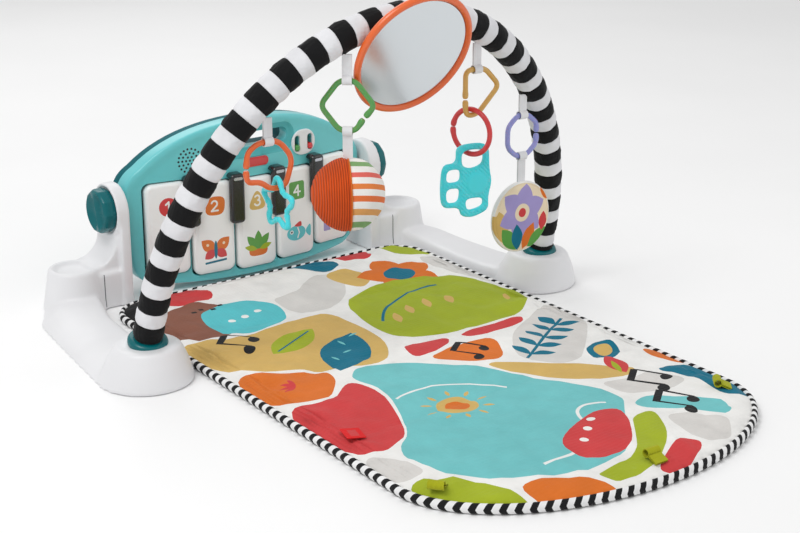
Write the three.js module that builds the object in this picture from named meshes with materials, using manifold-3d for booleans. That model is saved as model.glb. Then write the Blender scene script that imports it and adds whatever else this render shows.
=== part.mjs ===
// A baby activity play gym: two floor bases joined by a toy piano and a fabric-sleeved arch, with hanging
// toys, a mirror and a padded mat. Millimetres, X right along the arch, Y back towards the piano, Z up.
// The origin is on the floor, midway between the two arch sockets.
import * as THREE from "three";
import { mergeVertices } from "three/addons/utils/BufferGeometryUtils.js";
import Module from "manifold-3d";

const wasm = await Module();
wasm.setup();

// ---------------------------------------------------------------- driving dimensions
const gap = 0.4; // running clearance between neighbouring pieces
const wall = 2.6; // moulded wall thickness

const arch = {
  halfSpan: 300, // socket centre to the middle plane
  socketZ: 47, // top of the socket towers
  rise: 370, // tower top to the highest point of the tube's centre line
  lean: Math.atan(0.2811), // the whole arch leans towards the mat
  rodR: 8, // bent tube inside the sleeve
  sleeveR: 18, // padded fabric sleeve
  sleeveBoreR: 8.6,
  spigot: 40, // length of tube below the tower top
};
const base = {
  towerTopR: 39,
  towerFootR: 57,
  towerFootY: 7, // the foot sits a little behind the tower top
  cup: { x: 261.5, y: 280, topR: 34, footR: 43, z: 57 },
  postX0: 192, // inner face of the upright
  postX1: 210, // outer face of the upright
  postR: 36, // rounded head of the upright
  blockY0: 250,
  blockY1: 318,
};
const pivot = { y: 283, z: 125.5 }; // the piano turns between the two uprights on this line
const knob = { r: 30, x0: 206.5, x1: 225.3, boltR: 5 };
const piano = {
  halfWidth: 188,
  faceY: 251, // middle of the curved front face
  faceR: 845, // plan radius of the front face
  frontDepth: 22,
  backDepth: 20,
  topZ: 228,
  bottomZ: 4.5,
};
const keys = { count: 5, pitch: 65.6, width: 61.6, length: 128, midZ: 79.5, proud: 5, depth: 10 };
const mat = {
  halfWidth: 242,
  rearY: 234,
  rearCornerR: 52,
  frontY: -415, // where the rounded front end begins
  frontDepth: 147,
  thickness: 15,
  bindingR: 4,
};
const linkR = 3.3; // cross-section radius of the plastic links
const mirror = { r: 80, thickness: 9, tilt: Math.atan2(0.412, 0.911), pinR: 2, pinReach: 22.3 };

// ---------------------------------------------------------------- materials
const paint = (color, roughness, metalness = 0) =>
  new THREE.MeshStandardMaterial({ color, roughness, metalness });
const white = paint(0xe8e8ea, 0.45);
const teal = paint(0x66c4c6, 0.4);
const darkTeal = paint(0x006468, 0.3);
const black = paint(0x1c1c1c, 0.35);
const keyWhite = paint(0xf2f2f0, 0.35);
const steel = paint(0xb8bcc0, 0.35, 1);
const fabricWhite = paint(0xf0f0f0, 0.9);
const stripes = paint(0x8a8a8a, 0.9);
const orange = paint(0xeb6e32, 0.4);
const green = paint(0x5a9650, 0.4);
const tan = paint(0xcda55a, 0.4);
const red = paint(0xcd3232, 0.4);
const lilac = paint(0x9196cd, 0.4);
const aqua = paint(0x46d2d7, 0.5);
const lime = paint(0xb4be32, 0.9);
const printed = paint(0xdcdcd2, 0.9);
const silver = paint(0xd8dadc, 0.08, 1);
const board = paint(0x2f6b3c, 0.6);
const grey = paint(0x55585c, 0.8);
const cell = paint(0x8c7a3c, 0.35, 0.6);

// ---------------------------------------------------------------- geometry helpers
// A closed, outward-facing solid from any closed three.js geometry.
function solid(geometry) {
  const bare = new THREE.BufferGeometry();
  bare.setAttribute("position", geometry.getAttribute("position"));
  if (geometry.index) bare.setIndex(geometry.index);
  const merged = mergeVertices(bare, 1e-3);
  const vertProperties = new Float32Array(merged.attributes.position.array);
  const index = merged.index.array;
  const kept = [];
  for (let i = 0; i < index.length; i += 3) {
    const [a, b, c] = [index[i], index[i + 1], index[i + 2]];
    if (a !== b && b !== c && c !== a) kept.push(a, b, c);
  }
  if (signedVolume(vertProperties, kept) < 0) kept.reverse();
  return new wasm.Manifold(
    new wasm.Mesh({ numProp: 3, vertProperties, triVerts: new Uint32Array(kept) }),
  );
}

function signedVolume(points, triangles) {
  const corner = (i) => new THREE.Vector3().fromArray(points, 3 * i);
  let six = 0;
  for (let i = 0; i < triangles.length; i += 3) {
    const [a, b, c] = [0, 1, 2].map((k) => corner(triangles[i + k]));
    six += a.dot(b.cross(c));
  }
  return six / 6;
}

function geometryOf(manifold) {
  const mesh = manifold.getMesh();
  const points = new Float32Array(mesh.numVert * 3);
  for (let i = 0; i < mesh.numVert; i++) {
    const from = i * mesh.numProp;
    points.set(mesh.vertProperties.subarray(from, from + 3), i * 3);
  }
  return new THREE.BufferGeometry()
    .setAttribute("position", new THREE.BufferAttribute(points, 3))
    .setIndex(new THREE.BufferAttribute(new Uint32Array(mesh.triVerts), 1));
}

const join = (...solids) => solids.reduce((a, b) => a.add(b));

function mesh(name, shape, material) {
  const geometry = shape.isBufferGeometry ? geometryOf(solid(shape)) : geometryOf(shape);
  geometry.computeVertexNormals();
  const made = new THREE.Mesh(geometry, material);
  made.name = name;
  return made;
}

// The same solid on the other side of the middle plane.
function mirrored(manifold) {
  return solid(geometryOf(manifold).applyMatrix4(new THREE.Matrix4().makeScale(-1, 1, 1)));
}

const sided = (manifold, side) => (side > 0 ? manifold : mirrored(manifold));

// Profiles of [radius, height] turned about the Z axis.
function turned(profile, segments = 32) {
  const points = profile.map(([r, z]) => new THREE.Vector2(r, z));
  return new THREE.LatheGeometry(points, segments).rotateX(Math.PI / 2);
}

const frustum = (r0, r1, z0, z1, segments = 32) =>
  turned([[0, z0], [r0, z0], [r1, z1], [0, z1]], segments);

const rod = (r, x0, x1, segments = 14) =>
  frustum(r, r, x0, x1, segments).rotateY(Math.PI / 2);

// A shape drawn in X and Z, pushed from y0 to y1.
function acrossY(shape, y0, y1, curveSegments = 4) {
  return new THREE.ExtrudeGeometry(shape, { depth: y1 - y0, bevelEnabled: false, curveSegments })
    .rotateX(Math.PI / 2)
    .translate(0, y1, 0);
}

// A shape drawn in Y and Z, pushed from x0 to x1.
function acrossX(shape, x0, x1, curveSegments = 6) {
  const turn = new THREE.Matrix4().makeBasis(
    new THREE.Vector3(0, 1, 0),
    new THREE.Vector3(0, 0, 1),
    new THREE.Vector3(1, 0, 0),
  );
  return new THREE.ExtrudeGeometry(shape, { depth: x1 - x0, bevelEnabled: false, curveSegments })
    .applyMatrix4(turn)
    .translate(x0, 0, 0);
}

function box(x0, x1, y0, y1, z0, z1) {
  return new THREE.BoxGeometry(x1 - x0, y1 - y0, z1 - z0).translate(
    (x0 + x1) / 2,
    (y0 + y1) / 2,
    (z0 + z1) / 2,
  );
}

function roundedRect(x0, x1, y0, y1, r) {
  const shape = new THREE.Shape();
  shape.moveTo(x0 + r, y0);
  shape.lineTo(x1 - r, y0);
  shape.absarc(x1 - r, y0 + r, r, -Math.PI / 2, 0, false);
  shape.lineTo(x1, y1 - r);
  shape.absarc(x1 - r, y1 - r, r, 0, Math.PI / 2, false);
  shape.lineTo(x0 + r, y1);
  shape.absarc(x0 + r, y1 - r, r, Math.PI / 2, Math.PI, false);
  shape.lineTo(x0, y0 + r);
  shape.absarc(x0 + r, y0 + r, r, Math.PI, 1.5 * Math.PI, false);
  return shape;
}

// Skins equal rings of points and closes both ends.
function loft(rings) {
  const n = rings[0].length;
  const points = rings.flat();
  const triangles = [];
  for (let k = 0; k + 1 < rings.length; k++) {
    for (let i = 0; i < n; i++) {
      const [a, b] = [k * n + i, k * n + ((i + 1) % n)];
      triangles.push(a, b, b + n, a, b + n, a + n);
    }
  }
  for (const k of [0, rings.length - 1]) {
    const centre = new THREE.Vector3();
    rings[k].forEach((p) => centre.addScaledVector(p, 1 / n));
    points.push(centre);
    for (let i = 0; i < n; i++) {
      const [a, b] = [k * n + i, k * n + ((i + 1) % n)];
      triangles.push(points.length - 1, ...(k ? [a, b] : [b, a]));
    }
  }
  return new THREE.BufferGeometry().setFromPoints(points).setIndex(triangles);
}

function roundTube(path, radius, steps, sides = 10) {
  const section = new THREE.Shape();
  section.absarc(0, 0, radius, 0, 2 * Math.PI, false);
  return new THREE.ExtrudeGeometry(section, { extrudePath: path, steps, curveSegments: sides });
}

// ---------------------------------------------------------------- arch
// Centre line of the arch tube in the arch's own upright plane, with straight legs below the ellipse.
class ArchLine extends THREE.Curve {
  constructor(leg, from = 0, to = 1) {
    super();
    Object.assign(this, { leg, from, to });
  }
  getPoint(t, target = new THREE.Vector3()) {
    const height = arch.rise / Math.cos(arch.lean);
    const legShare = this.leg / (this.leg * 2 + 1.1 * (arch.halfSpan + height));
    const s = this.from + (this.to - this.from) * t;
    if (s < legShare) return target.set(-arch.halfSpan, 0, -this.leg * (1 - s / legShare));
    if (s > 1 - legShare) return target.set(arch.halfSpan, 0, -this.leg * (1 - (1 - s) / legShare));
    const angle = (Math.PI * (s - legShare)) / (1 - 2 * legShare);
    return target.set(-arch.halfSpan * Math.cos(angle), 0, height * Math.sin(angle));
  }
}

function archRod(side) {
  const path = side < 0 ? new ArchLine(arch.spigot, 0, 0.4995) : new ArchLine(arch.spigot, 0.5005, 1);
  return roundTube(path, arch.rodR - 2, 20, 4);
}

function archConnector() {
  const section = new THREE.Shape();
  section.absarc(0, 0, arch.rodR, 0, 2 * Math.PI, false);
  const bore = new THREE.Path();
  bore.absarc(0, 0, arch.rodR - 1.2, 0, 2 * Math.PI, true);
  section.holes.push(bore);
  const path = new ArchLine(arch.spigot, 0.47, 0.53);
  return new THREE.ExtrudeGeometry(section, { extrudePath: path, steps: 6, curveSegments: 6 });
}

function archSleeve() {
  const section = new THREE.Shape();
  section.absarc(0, 0, arch.sleeveR, 0, 2 * Math.PI, false);
  const bore = new THREE.Path();
  bore.absarc(0, 0, arch.sleeveBoreR, 0, 2 * Math.PI, true);
  section.holes.push(bore);
  const path = new ArchLine(0, 0.012, 0.988);
  return new THREE.ExtrudeGeometry(section, { extrudePath: path, steps: 34, curveSegments: 6 });
}

// Ring that rests on the tower, with the spigot that enters the socket and holds the tube.
function archCollar() {
  const bore = arch.rodR - 2 + gap;
  return turned(
    [[bore, -42], [12.5, -42], [13, -1], [13, gap], [23.75, gap], [23.75, 6], [21.5, 9], [bore, 9], [bore, -42]],
    20,
  );
}

// ---------------------------------------------------------------- bases
const armStations = [
  // y, inner x, outer x, height
  [-30, 262, 352, 18],
  [10, 252, 357, 24],
  [70, 252, 350, 17],
  [130, 257, 343, 13],
  [190, 254, 336, 16],
  [240, 240, 330, 24],
  [285, 236, 305, 26],
  [305, 244, 284, 24],
];

// Outer form of the right base, with every face moved in by inset.
function baseForm(inset) {
  const floor = inset ? -1 : 0;
  const { cup } = base;
  const top = arch.socketZ;
  const tower = frustum(base.towerFootR - inset, base.towerTopR - inset, floor, top - inset, 28);
  const points = tower.attributes.position;
  for (let i = 0; i < points.count; i++) {
    points.setY(i, points.getY(i) + base.towerFootY * (1 - points.getZ(i) / top));
  }
  tower.translate(arch.halfSpan, 0, 0);
  const arm = loft(
    armStations.map(([y, xi, xo, h]) => {
      const [a, b, c] = [xi + inset, xo - inset, h - inset];
      const section = [[a, floor], [a + 3, 0.7 * c], [a + 12, c], [(a + b) / 2, 0.96 * c]];
      section.push([b - 20, 0.6 * c], [b - 5, 0.25 * c], [b, floor]);
      return section.map(([x, z]) => new THREE.Vector3(x, y, z));
    }),
  );
  const cupTop = cup.z - inset - (inset ? 9 : 0);
  const cupBody = frustum(cup.footR - inset, cup.topR - inset, floor, cupTop, 24);
  cupBody.translate(cup.x, cup.y, 0);
  const block = box(
    base.postX0 + inset, cup.x, base.blockY0 + inset, base.blockY1 - inset, floor, cup.z - inset - 4,
  );
  const head = new THREE.Shape();
  const r = base.postR - inset;
  head.moveTo(pivot.y - r, floor);
  head.lineTo(pivot.y + r, floor);
  head.absarc(pivot.y, pivot.z, r, 0, Math.PI, false);
  const upright = acrossX(head, base.postX0 + inset, base.postX1 - inset, 6);
  const sweep = new THREE.Shape(); // concave web from the upright down to the cup
  const web = 34;
  sweep.moveTo(base.postX1 - 4, cup.z - 12);
  sweep.lineTo(base.postX1 + web, cup.z - 12);
  sweep.lineTo(base.postX1 + web - inset, cup.z - inset);
  sweep.absarc(base.postX1 + web - inset, cup.z + web - inset, web, -Math.PI / 2, -Math.PI, true);
  sweep.lineTo(base.postX1 - 4, cup.z + web);
  const parts = [tower, arm, cupBody, block, upright];
  if (!inset) parts.push(acrossY(sweep, base.blockY0 + 6, base.blockY1 - 4));
  return join(...parts.map(solid));
}

function baseShell() {
  const { cup } = base;
  const lean = (g) => g.rotateX(arch.lean).translate(arch.halfSpan, 0, arch.socketZ);
  const dish = frustum(15, 27, cup.z - 8, cup.z + 1, 20).translate(cup.x, cup.y, 0);
  const socket = solid(lean(frustum(17, 17, -38, -1, 20)));
  const pad = solid(lean(frustum(28, 26.4, -16, 1.4, 28)));
  const seat = solid(lean(frustum(24.2, 24.2, 0, 30, 28)));
  const bore = solid(lean(frustum(13.6, 13.6, -40, 12, 20)));
  const boltHole = solid(rod(knob.boltR + gap, 180, 220).translate(0, pivot.y, pivot.z));
  const knobSeat = solid(rod(knob.r + 1.2, knob.x0 - 0.8, 240, 24).translate(0, pivot.y, pivot.z));
  const slab = solid(box(150, 420, -100, 400, -20, 0));
  return join(baseForm(0).subtract(baseForm(wall)), socket, pad)
    .subtract(bore)
    .subtract(seat)
    .subtract(boltHole)
    .subtract(knobSeat)
    .subtract(solid(dish))
    .subtract(slab);
}

// Plate that closes the underside, just inside the shell's rim.
function baseCover() {
  const slab = solid(box(150, 420, -100, 400, gap, 2.4));
  const leanBore = solid(frustum(18, 18, -10, 30).translate(arch.halfSpan, 12, 0));
  return baseForm(wall + gap).intersect(slab).subtract(leanBore);
}

// ---------------------------------------------------------------- piano
// A band between two plan radii, as tall as the panel: r is measured from the front face backwards.
function band(front, back, zLow = -20, zHigh = 260, segments = 8) {
  const centreY = piano.faceY + piano.faceR;
  const half = Math.asin(230 / piano.faceR);
  const shape = new THREE.Shape();
  const [outer, inner] = [piano.faceR - front, piano.faceR - back];
  shape.absarc(0, centreY, outer, -Math.PI / 2 - half, -Math.PI / 2 + half, false);
  shape.absarc(0, centreY, inner, -Math.PI / 2 + half, -Math.PI / 2 - half, true);
  return solid(
    new THREE.ExtrudeGeometry(shape, { depth: zHigh - zLow, bevelEnabled: false, curveSegments: segments })
      .translate(0, 0, zLow),
  );
}

// Lens-like front outline of the panel, moved in by inset.
function panelOutline(inset = 0) {
  const w = piano.halfWidth - inset;
  const [top, bottom] = [piano.topZ - inset, piano.bottomZ + inset];
  const shape = new THREE.Shape();
  shape.moveTo(0, bottom);
  shape.quadraticCurveTo(85, bottom, 148, bottom + 9);
  shape.quadraticCurveTo(w - 12, bottom + 14, w - 9, bottom + 42);
  shape.lineTo(w, 138);
  shape.quadraticCurveTo(w, 162, w - 22, top - 52);
  shape.quadraticCurveTo(110, top, 0, top);
  shape.quadraticCurveTo(-110, top, -(w - 22), top - 52);
  shape.quadraticCurveTo(-w, 162, -w, 138);
  shape.lineTo(-(w - 9), bottom + 42);
  shape.quadraticCurveTo(-(w - 12), bottom + 14, -148, bottom + 9);
  shape.quadraticCurveTo(-85, bottom, 0, bottom);
  return shape;
}

// Smile of the keyboard: how far a key at x sits above the middle one.
const keyLift = (x) => 24 * (x / 200) ** 2;

// Places a geometry drawn about the middle of the face at arc distance s along it.
function alongFace(geometry, s) {
  const centreY = piano.faceY + piano.faceR;
  return geometry
    .translate(0, -centreY, 0)
    .rotateZ(s / piano.faceR)
    .translate(0, centreY, 0);
}

const keyPlaces = Array.from({ length: keys.count }, (_, i) => (i - (keys.count - 1) / 2) * keys.pitch);
const blackPlaces = Array.from({ length: keys.count - 1 }, (_, i) => (i - (keys.count - 2) / 2) * keys.pitch);
const handle = { halfWidth: 57, z0: 186, z1: 206 };
const speakerAt = { x: -95, z: 180 };
const slots = [72, 94];
const slotZ = 179;

function keyOutline(extra) {
  const [w, l] = [keys.width / 2 + extra, keys.length / 2 + extra];
  return roundedRect(-w, w, -l, l, 9);
}

function panelFront() {
  const depth = piano.frontDepth;
  const skin = solid(acrossY(panelOutline(), 200, 340)).intersect(band(0, depth));
  const cavity = solid(acrossY(panelOutline(wall), 200, 340)).intersect(band(wall, depth + 1));
  const grip = roundedRect(-handle.halfWidth, handle.halfWidth, handle.z0, handle.z1, 10);
  const gripWall = roundedRect(
    -handle.halfWidth - wall, handle.halfWidth + wall, handle.z0 - wall, handle.z1 + wall, 12,
  );
  const hub = solid(rod(10, 166, 187).translate(0, pivot.y, pivot.z));
  let shell = skin.subtract(cavity);
  shell = join(shell, solid(acrossY(gripWall, 200, 340)).intersect(band(wall / 2, depth)));
  shell = join(shell, hub, mirrored(hub)).subtract(solid(acrossY(grip, 200, 340)));
  const bolt = solid(rod(knob.boltR + gap, 160, 200).translate(0, pivot.y, pivot.z));
  shell = shell.subtract(bolt).subtract(mirrored(bolt));
  for (const s of keyPlaces) {
    const opening = acrossY(keyOutline(1.6), piano.faceY - 15, piano.faceY + 12, 3);
    shell = shell.subtract(solid(alongFace(opening.translate(0, 0, keys.midZ + keyLift(s)), s)));
  }
  for (const x of slots) {
    const slot = roundedRect(x - 4, x + 4, slotZ - 11, slotZ + 11, 3.9);
    shell = shell.subtract(solid(acrossY(slot, 230, 275)));
  }
  for (let ring = 1; ring <= 2; ring++) {
    for (let k = 0; k < 4 * ring; k++) {
      const angle = (2 * Math.PI * k) / (4 * ring) + 0.5 * ring;
      const [x, z] = [ring * 7 * Math.cos(angle), ring * 7 * Math.sin(angle)];
      const hole = frustum(1.1, 1.1, -30, 30, 6).rotateX(Math.PI / 2);
      shell = shell.subtract(solid(hole.translate(speakerAt.x + x, 250, speakerAt.z + z)));
    }
  }
  return shell.decompose().sort((a, b) => b.volume() - a.volume())[0];
}

const bay = { x0: -52, x1: 52, z0: 62, z1: 128 }; // battery bay opening in the back

function panelBack() {
  const [front, back] = [piano.frontDepth + gap, piano.frontDepth + piano.backDepth];
  const skin = solid(acrossY(panelOutline(1.2), 200, 340)).intersect(band(front, back));
  const cavity = solid(acrossY(panelOutline(1.2 + wall), 200, 340)).intersect(band(front - 1, back - wall));
  const grip = roundedRect(
    -handle.halfWidth, handle.halfWidth, handle.z0, handle.z1, 10,
  );
  const gripWall = roundedRect(
    -handle.halfWidth - wall, handle.halfWidth + wall, handle.z0 - wall, handle.z1 + wall, 12,
  );
  const opening = roundedRect(bay.x0, bay.x1, bay.z0, bay.z1, 6);
  return join(skin.subtract(cavity), solid(acrossY(gripWall, 200, 340)).intersect(band(front, back)))
    .subtract(solid(acrossY(grip, 200, 360)))
    .subtract(solid(acrossY(opening, piano.faceY + back - 8, 340)));
}

function batteryDoor() {
  const back = piano.frontDepth + piano.backDepth;
  const outline = roundedRect(bay.x0 + gap, bay.x1 - gap, bay.z0 + gap, bay.z1 - gap, 6);
  const screwHole = solid(frustum(2.6, 2.6, -40, 40, 12).rotateX(Math.PI / 2));
  return solid(acrossY(outline, 200, 340))
    .intersect(band(back - 2.4, back))
    .subtract(screwHole.translate([44, piano.faceY + back, 95]));
}

function doorScrew() {
  const y = piano.faceY + piano.frontDepth + piano.backDepth;
  return frustum(2.2, 2.2, -1, 9, 12).rotateX(Math.PI / 2).translate(44, y, 95);
}

function whiteKey() {
  const slab = new THREE.ExtrudeGeometry(keyOutline(-3), {
    depth: keys.proud + keys.depth - 6,
    bevelEnabled: true,
    bevelThickness: 3,
    bevelSize: 3,
    bevelSegments: 1,
    curveSegments: 3,
  });
  return slab.rotateX(Math.PI / 2).translate(0, keys.depth - 3, 0);
}

// A black key stands in front of the white ones and is fixed to the panel by its foot above them.
function blackKey() {
  const [half, front] = [10.5, -keys.proud - 1.2];
  const shape = new THREE.Shape();
  shape.moveTo(front, -31);
  shape.lineTo(front, 32.5);
  shape.lineTo(-gap, 32.5);
  shape.lineTo(-gap, 39);
  shape.lineTo(front - 4, 39);
  shape.quadraticCurveTo(front - 9, 38, front - 9, 30);
  shape.lineTo(front - 7, -27);
  shape.quadraticCurveTo(front - 6, -31, front, -31);
  return acrossX(shape, -half, half, 3);
}

function sliderCap() {
  const cap = roundedRect(-3.4, 3.4, -4, 4, 2.4);
  return acrossY(cap, -2.5, 8, 4);
}

function switchPlate() {
  const outline = roundedRect(64, 102, slotZ - 17, slotZ + 19, 12);
  let plate = solid(acrossY(outline, 200, 340)).intersect(band(-1.6, -gap));
  for (const x of slots) {
    const slot = roundedRect(x - 4.4, x + 4.4, slotZ - 11.4, slotZ + 11.4, 4);
    plate = plate.subtract(solid(acrossY(slot, 230, 275)));
  }
  return plate;
}

function speaker() {
  return turned([[0, 0], [8, 0], [8, 6], [16, 12], [18, 12], [18, 13.5], [15, 13.5], [6, 9], [0, 9]], 20)
    .rotateX(Math.PI / 2)
    .translate(speakerAt.x, piano.faceY + 24, speakerAt.z);
}

function circuitBoard() {
  return box(40, 132, piano.faceY + 21, piano.faceY + 22.6, 162, 182);
}

function keyPad() {
  const strip = box(-158, 158, 200, 340, 60, 78);
  return solid(strip).intersect(band(17, 19.5));
}

// ---------------------------------------------------------------- toys
// Straight sewn loop: a flat neck that hangs from its top end, with an eye round the link below.
function strap(length, eyeR, width = 11) {
  const shape = new THREE.Shape();
  const neck = 1.3;
  const turn = Math.asin(neck / (eyeR + 1.3));
  shape.moveTo(neck, -1);
  shape.absarc(0, -length, eyeR + 1.3, Math.PI / 2 - turn, Math.PI / 2 + turn, true);
  shape.lineTo(-neck, -1);
  shape.quadraticCurveTo(0, 0.4, neck, -1);
  const eye = new THREE.Path();
  eye.absarc(0, -length, eyeR, 0, 2 * Math.PI, false);
  shape.holes.push(eye);
  return acrossX(shape, -width / 2, width / 2, 8);
}

// The same loop upside down: its eye hangs on the link above and its neck runs down.
const hangingStrap = (length, eyeR) => strap(length, eyeR).rotateX(Math.PI).translate(0, 0, -length);

// Open link: a tube along corner points, split where the list begins and ends.
function splitLink(corners, rounding) {
  const path = new THREE.CurvePath();
  const points = corners.map(([x, z]) => new THREE.Vector3(x, 0, z));
  let from = points[0];
  for (let i = 1; i + 1 < points.length; i++) {
    const corner = points[i];
    const r = Math.min(rounding, 0.45 * corner.distanceTo(points[i - 1]), 0.45 * corner.distanceTo(points[i + 1]));
    const before = corner.clone().lerp(points[i - 1], r / corner.distanceTo(points[i - 1]));
    const after = corner.clone().lerp(points[i + 1], r / corner.distanceTo(points[i + 1]));
    path.add(new THREE.LineCurve3(from, before));
    path.add(new THREE.QuadraticBezierCurve3(before, corner, after));
    from = after;
  }
  path.add(new THREE.LineCurve3(from, points.at(-1)));
  return roundTube(path, linkR, 4 * points.length, 3);
}

function circleLink(r, splitAt) {
  const ring = new THREE.Curve();
  ring.getPoint = (t, target = new THREE.Vector3()) => {
    const angle = splitAt + 0.07 + t * (2 * Math.PI - 0.14);
    return target.set(r * Math.cos(angle), 0, r * Math.sin(angle));
  };
  return roundTube(ring, linkR, 28, 3);
}

// Hollow star with soft points; its top point hooks over the link above.
function starRing(r) {
  const points = [];
  for (let i = 0; i < 10; i++) {
    const angle = Math.PI / 2 + (i * Math.PI) / 5;
    const reach = i % 2 ? 0.62 * r : r;
    points.push(new THREE.Vector3(reach * Math.cos(angle), 0, reach * Math.sin(angle)));
  }
  const path = new THREE.CatmullRomCurve3(points, true, "centripetal");
  return new THREE.TubeGeometry(path, 40, linkR, 6, true);
}

function ballHalf(side) {
  const [r, thick, n] = [43, 5, 6];
  const profile = [];
  for (let i = 0; i <= n; i++) {
    const a = (i / n) * (Math.PI / 2 - 0.012);
    profile.push([r * Math.sin(a), r * Math.cos(a)]);
  }
  for (let i = n; i >= 0; i--) {
    const a = (i / n) * (Math.PI / 2 - 0.012);
    profile.push([(r - thick) * Math.sin(a), Math.max((r - thick) * Math.cos(a), 0.5)]);
  }
  return turned(profile, 20).rotateY((side * Math.PI) / 2);
}

// Closed outline that rounds every corner of a list of points.
function softLoop(path, corners) {
  corners.forEach(([x, y], i) => {
    const last = corners.at(i - 1);
    const next = corners[(i + 1) % corners.length];
    if (!i) path.moveTo((last[0] + x) / 2, (last[1] + y) / 2);
    path.quadraticCurveTo(x, y, (next[0] + x) / 2, (next[1] + y) / 2);
  });
  return path;
}

// Flat rubbery teether: four windows for small hands round a solid middle.
function teether() {
  const outline = softLoop(new THREE.Shape(), [
    [-11, 28], [-32, 24], [-38, -5], [-32, -34], [-4, -38], [6, -50], [36, -34], [35, -14], [35, 16], [34, 47],
    [-9, 48],
  ]);
  const windows = [
    [[-1, 39], [2, 8], [26, 18], [26, 39]],
    [[-30, 17], [-31, 0], [-13, 1], [-13, 19]],
    [[-31, -10], [-27, -26], [-12, -28], [-14, -9]],
    [[-3, -8], [7, -39], [27, -28], [26, -20]],
  ];
  outline.holes.push(...windows.map((corners) => softLoop(new THREE.Path(), corners)));
  return acrossY(outline, -3.5, 3.5, 4);
}

// Soft printed disc with its own sewn loop at the top.
function printDisc(neck) {
  const r = 47;
  const disc = frustum(r, r, -5, 5, 28).rotateX(Math.PI / 2).translate(0, 0, -neck - r + 1);
  return join(solid(disc), solid(hangingStrap(neck, eyeR)));
}

// Round mirror: a rim with a closed back and two ears that turn on the pin of its strap.
// Drawn facing -Y, with the pin on the origin.
function mirrorFrame() {
  const back = 2.7;
  const { r, thickness } = mirror;
  const rim = turned(
    [[0, 0], [r - 2, 0], [r, 2], [r, thickness - 2], [r - 1.5, thickness], [r - 7, thickness], [r - 8, 3], [0, 3]],
    36,
  );
  const ears = [-1, 1].map((side) => {
    const ear = new THREE.Shape();
    ear.moveTo(-back - 1, -3.4);
    ear.lineTo(0, -3.4);
    ear.absarc(0, 0, 3.4, -Math.PI / 2, Math.PI / 2, false);
    ear.lineTo(-back - 1, 3.4);
    const eye = new THREE.Path();
    eye.absarc(0, 0, mirror.pinR + gap, 0, 2 * Math.PI, false);
    ear.holes.push(eye);
    return solid(acrossX(ear, side * 10 - 1.5, side * 10 + 1.5));
  });
  return join(solid(rim.rotateX(Math.PI / 2).translate(0, -back, mirrorDrop)), ...ears);
}

const mirrorPlate = () =>
  frustum(mirror.r - 9, mirror.r - 9, 3.4, 5.2, 36)
    .rotateX(Math.PI / 2)
    .translate(0, -2.7, mirrorDrop);

// Fabric band round the sleeve with the pin the mirror hangs on, in the mirror's own turned frame.
function mirrorStrap() {
  const ring = new THREE.Shape();
  ring.absarc(0, 0, arch.sleeveR + 2.1, 0, 2 * Math.PI, false);
  const bore = new THREE.Path();
  bore.absarc(0, 0, arch.sleeveR + 0.7, 0, 2 * Math.PI, false);
  ring.holes.push(bore);
  const band = solid(acrossX(ring, -7, 7, 14).translate(0, mirror.pinReach, 0));
  return join(band, solid(rod(mirror.pinR, -12, 12, 12)), solid(box(-7, 7, -1.6, 3.6, -1.6, 1.6)));
}

// ---------------------------------------------------------------- mat
// Outline of the mat, moved in by inset: square-ish rear corners and a rounded front end.
function matOutline(inset) {
  const [w, rear] = [mat.halfWidth - inset, mat.rearY - inset];
  const r = Math.max(mat.rearCornerR - inset, 8);
  const points = [];
  const arc = (cx, cy, rx, ry, from, to, steps) => {
    for (let i = 0; i <= steps; i++) {
      const angle = from + ((to - from) * i) / steps;
      points.push([cx + rx * Math.cos(angle), cy + ry * Math.sin(angle)]);
    }
  };
  arc(w - r, rear - r, r, r, 0, Math.PI / 2, 6);
  arc(r - w, rear - r, r, r, Math.PI / 2, Math.PI, 6);
  arc(0, mat.frontY, w, mat.frontDepth - inset, Math.PI, 2 * Math.PI, 28);
  return points;
}

function matPad() {
  const edge = 2 * mat.bindingR + gap;
  const levels = [[edge + 4, 0], [edge, 2.5], [edge, 9], [14, 12.4], [34, mat.thickness]];
  return loft(levels.map(([inset, z]) => matOutline(inset).map(([x, y]) => new THREE.Vector3(x, y, z))));
}

// Round edging that follows the outline of the mat.
function matBinding() {
  const sides = 8;
  const rings = Array.from({ length: sides }, (_, k) => {
    const angle = (2 * Math.PI * k) / sides;
    const inset = mat.bindingR + (mat.bindingR - 0.2) * Math.cos(angle);
    const z = mat.bindingR + (mat.bindingR - 0.2) * Math.sin(angle);
    return matOutline(inset).map(([x, y]) => new THREE.Vector3(x, y, z));
  });
  const n = rings[0].length;
  const triangles = [];
  for (let k = 0; k < sides; k++) {
    for (let i = 0; i < n; i++) {
      const [a, b] = [k * n + i, k * n + ((i + 1) % n)];
      const [c, d] = [((k + 1) % sides) * n + i, ((k + 1) % sides) * n + ((i + 1) % n)];
      triangles.push(a, b, d, a, d, c);
    }
  }
  return new THREE.BufferGeometry().setFromPoints(rings.flat()).setIndex(triangles);
}

const loopTab = () => box(-9, 9, -13, 13, 0, 2.6);

// ---------------------------------------------------------------- assembly
const eyeR = 4.4;
const tubeZ = (x) => arch.socketZ + arch.rise * Math.sqrt(1 - (x / arch.halfSpan) ** 2);
const tubeY = (x) => -Math.tan(arch.lean) * (tubeZ(x) - arch.socketZ);

// Height where a strap starts, just clear of the sleeve above it.
function strapTop(x) {
  const slope = (arch.rise * Math.abs(x)) / arch.halfSpan ** 2 / Math.sqrt(1 - (x / arch.halfSpan) ** 2);
  const drop = (arch.sleeveR * Math.hypot(1, slope)) / Math.cos(arch.lean);
  return tubeZ(x) - drop - 5.5 * slope - 1;
}

function at(x, y, z, yaw, ...children) {
  const group = new THREE.Group();
  group.position.set(x, y, z);
  group.rotation.z = yaw;
  group.add(...children);
  return group;
}

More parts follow.
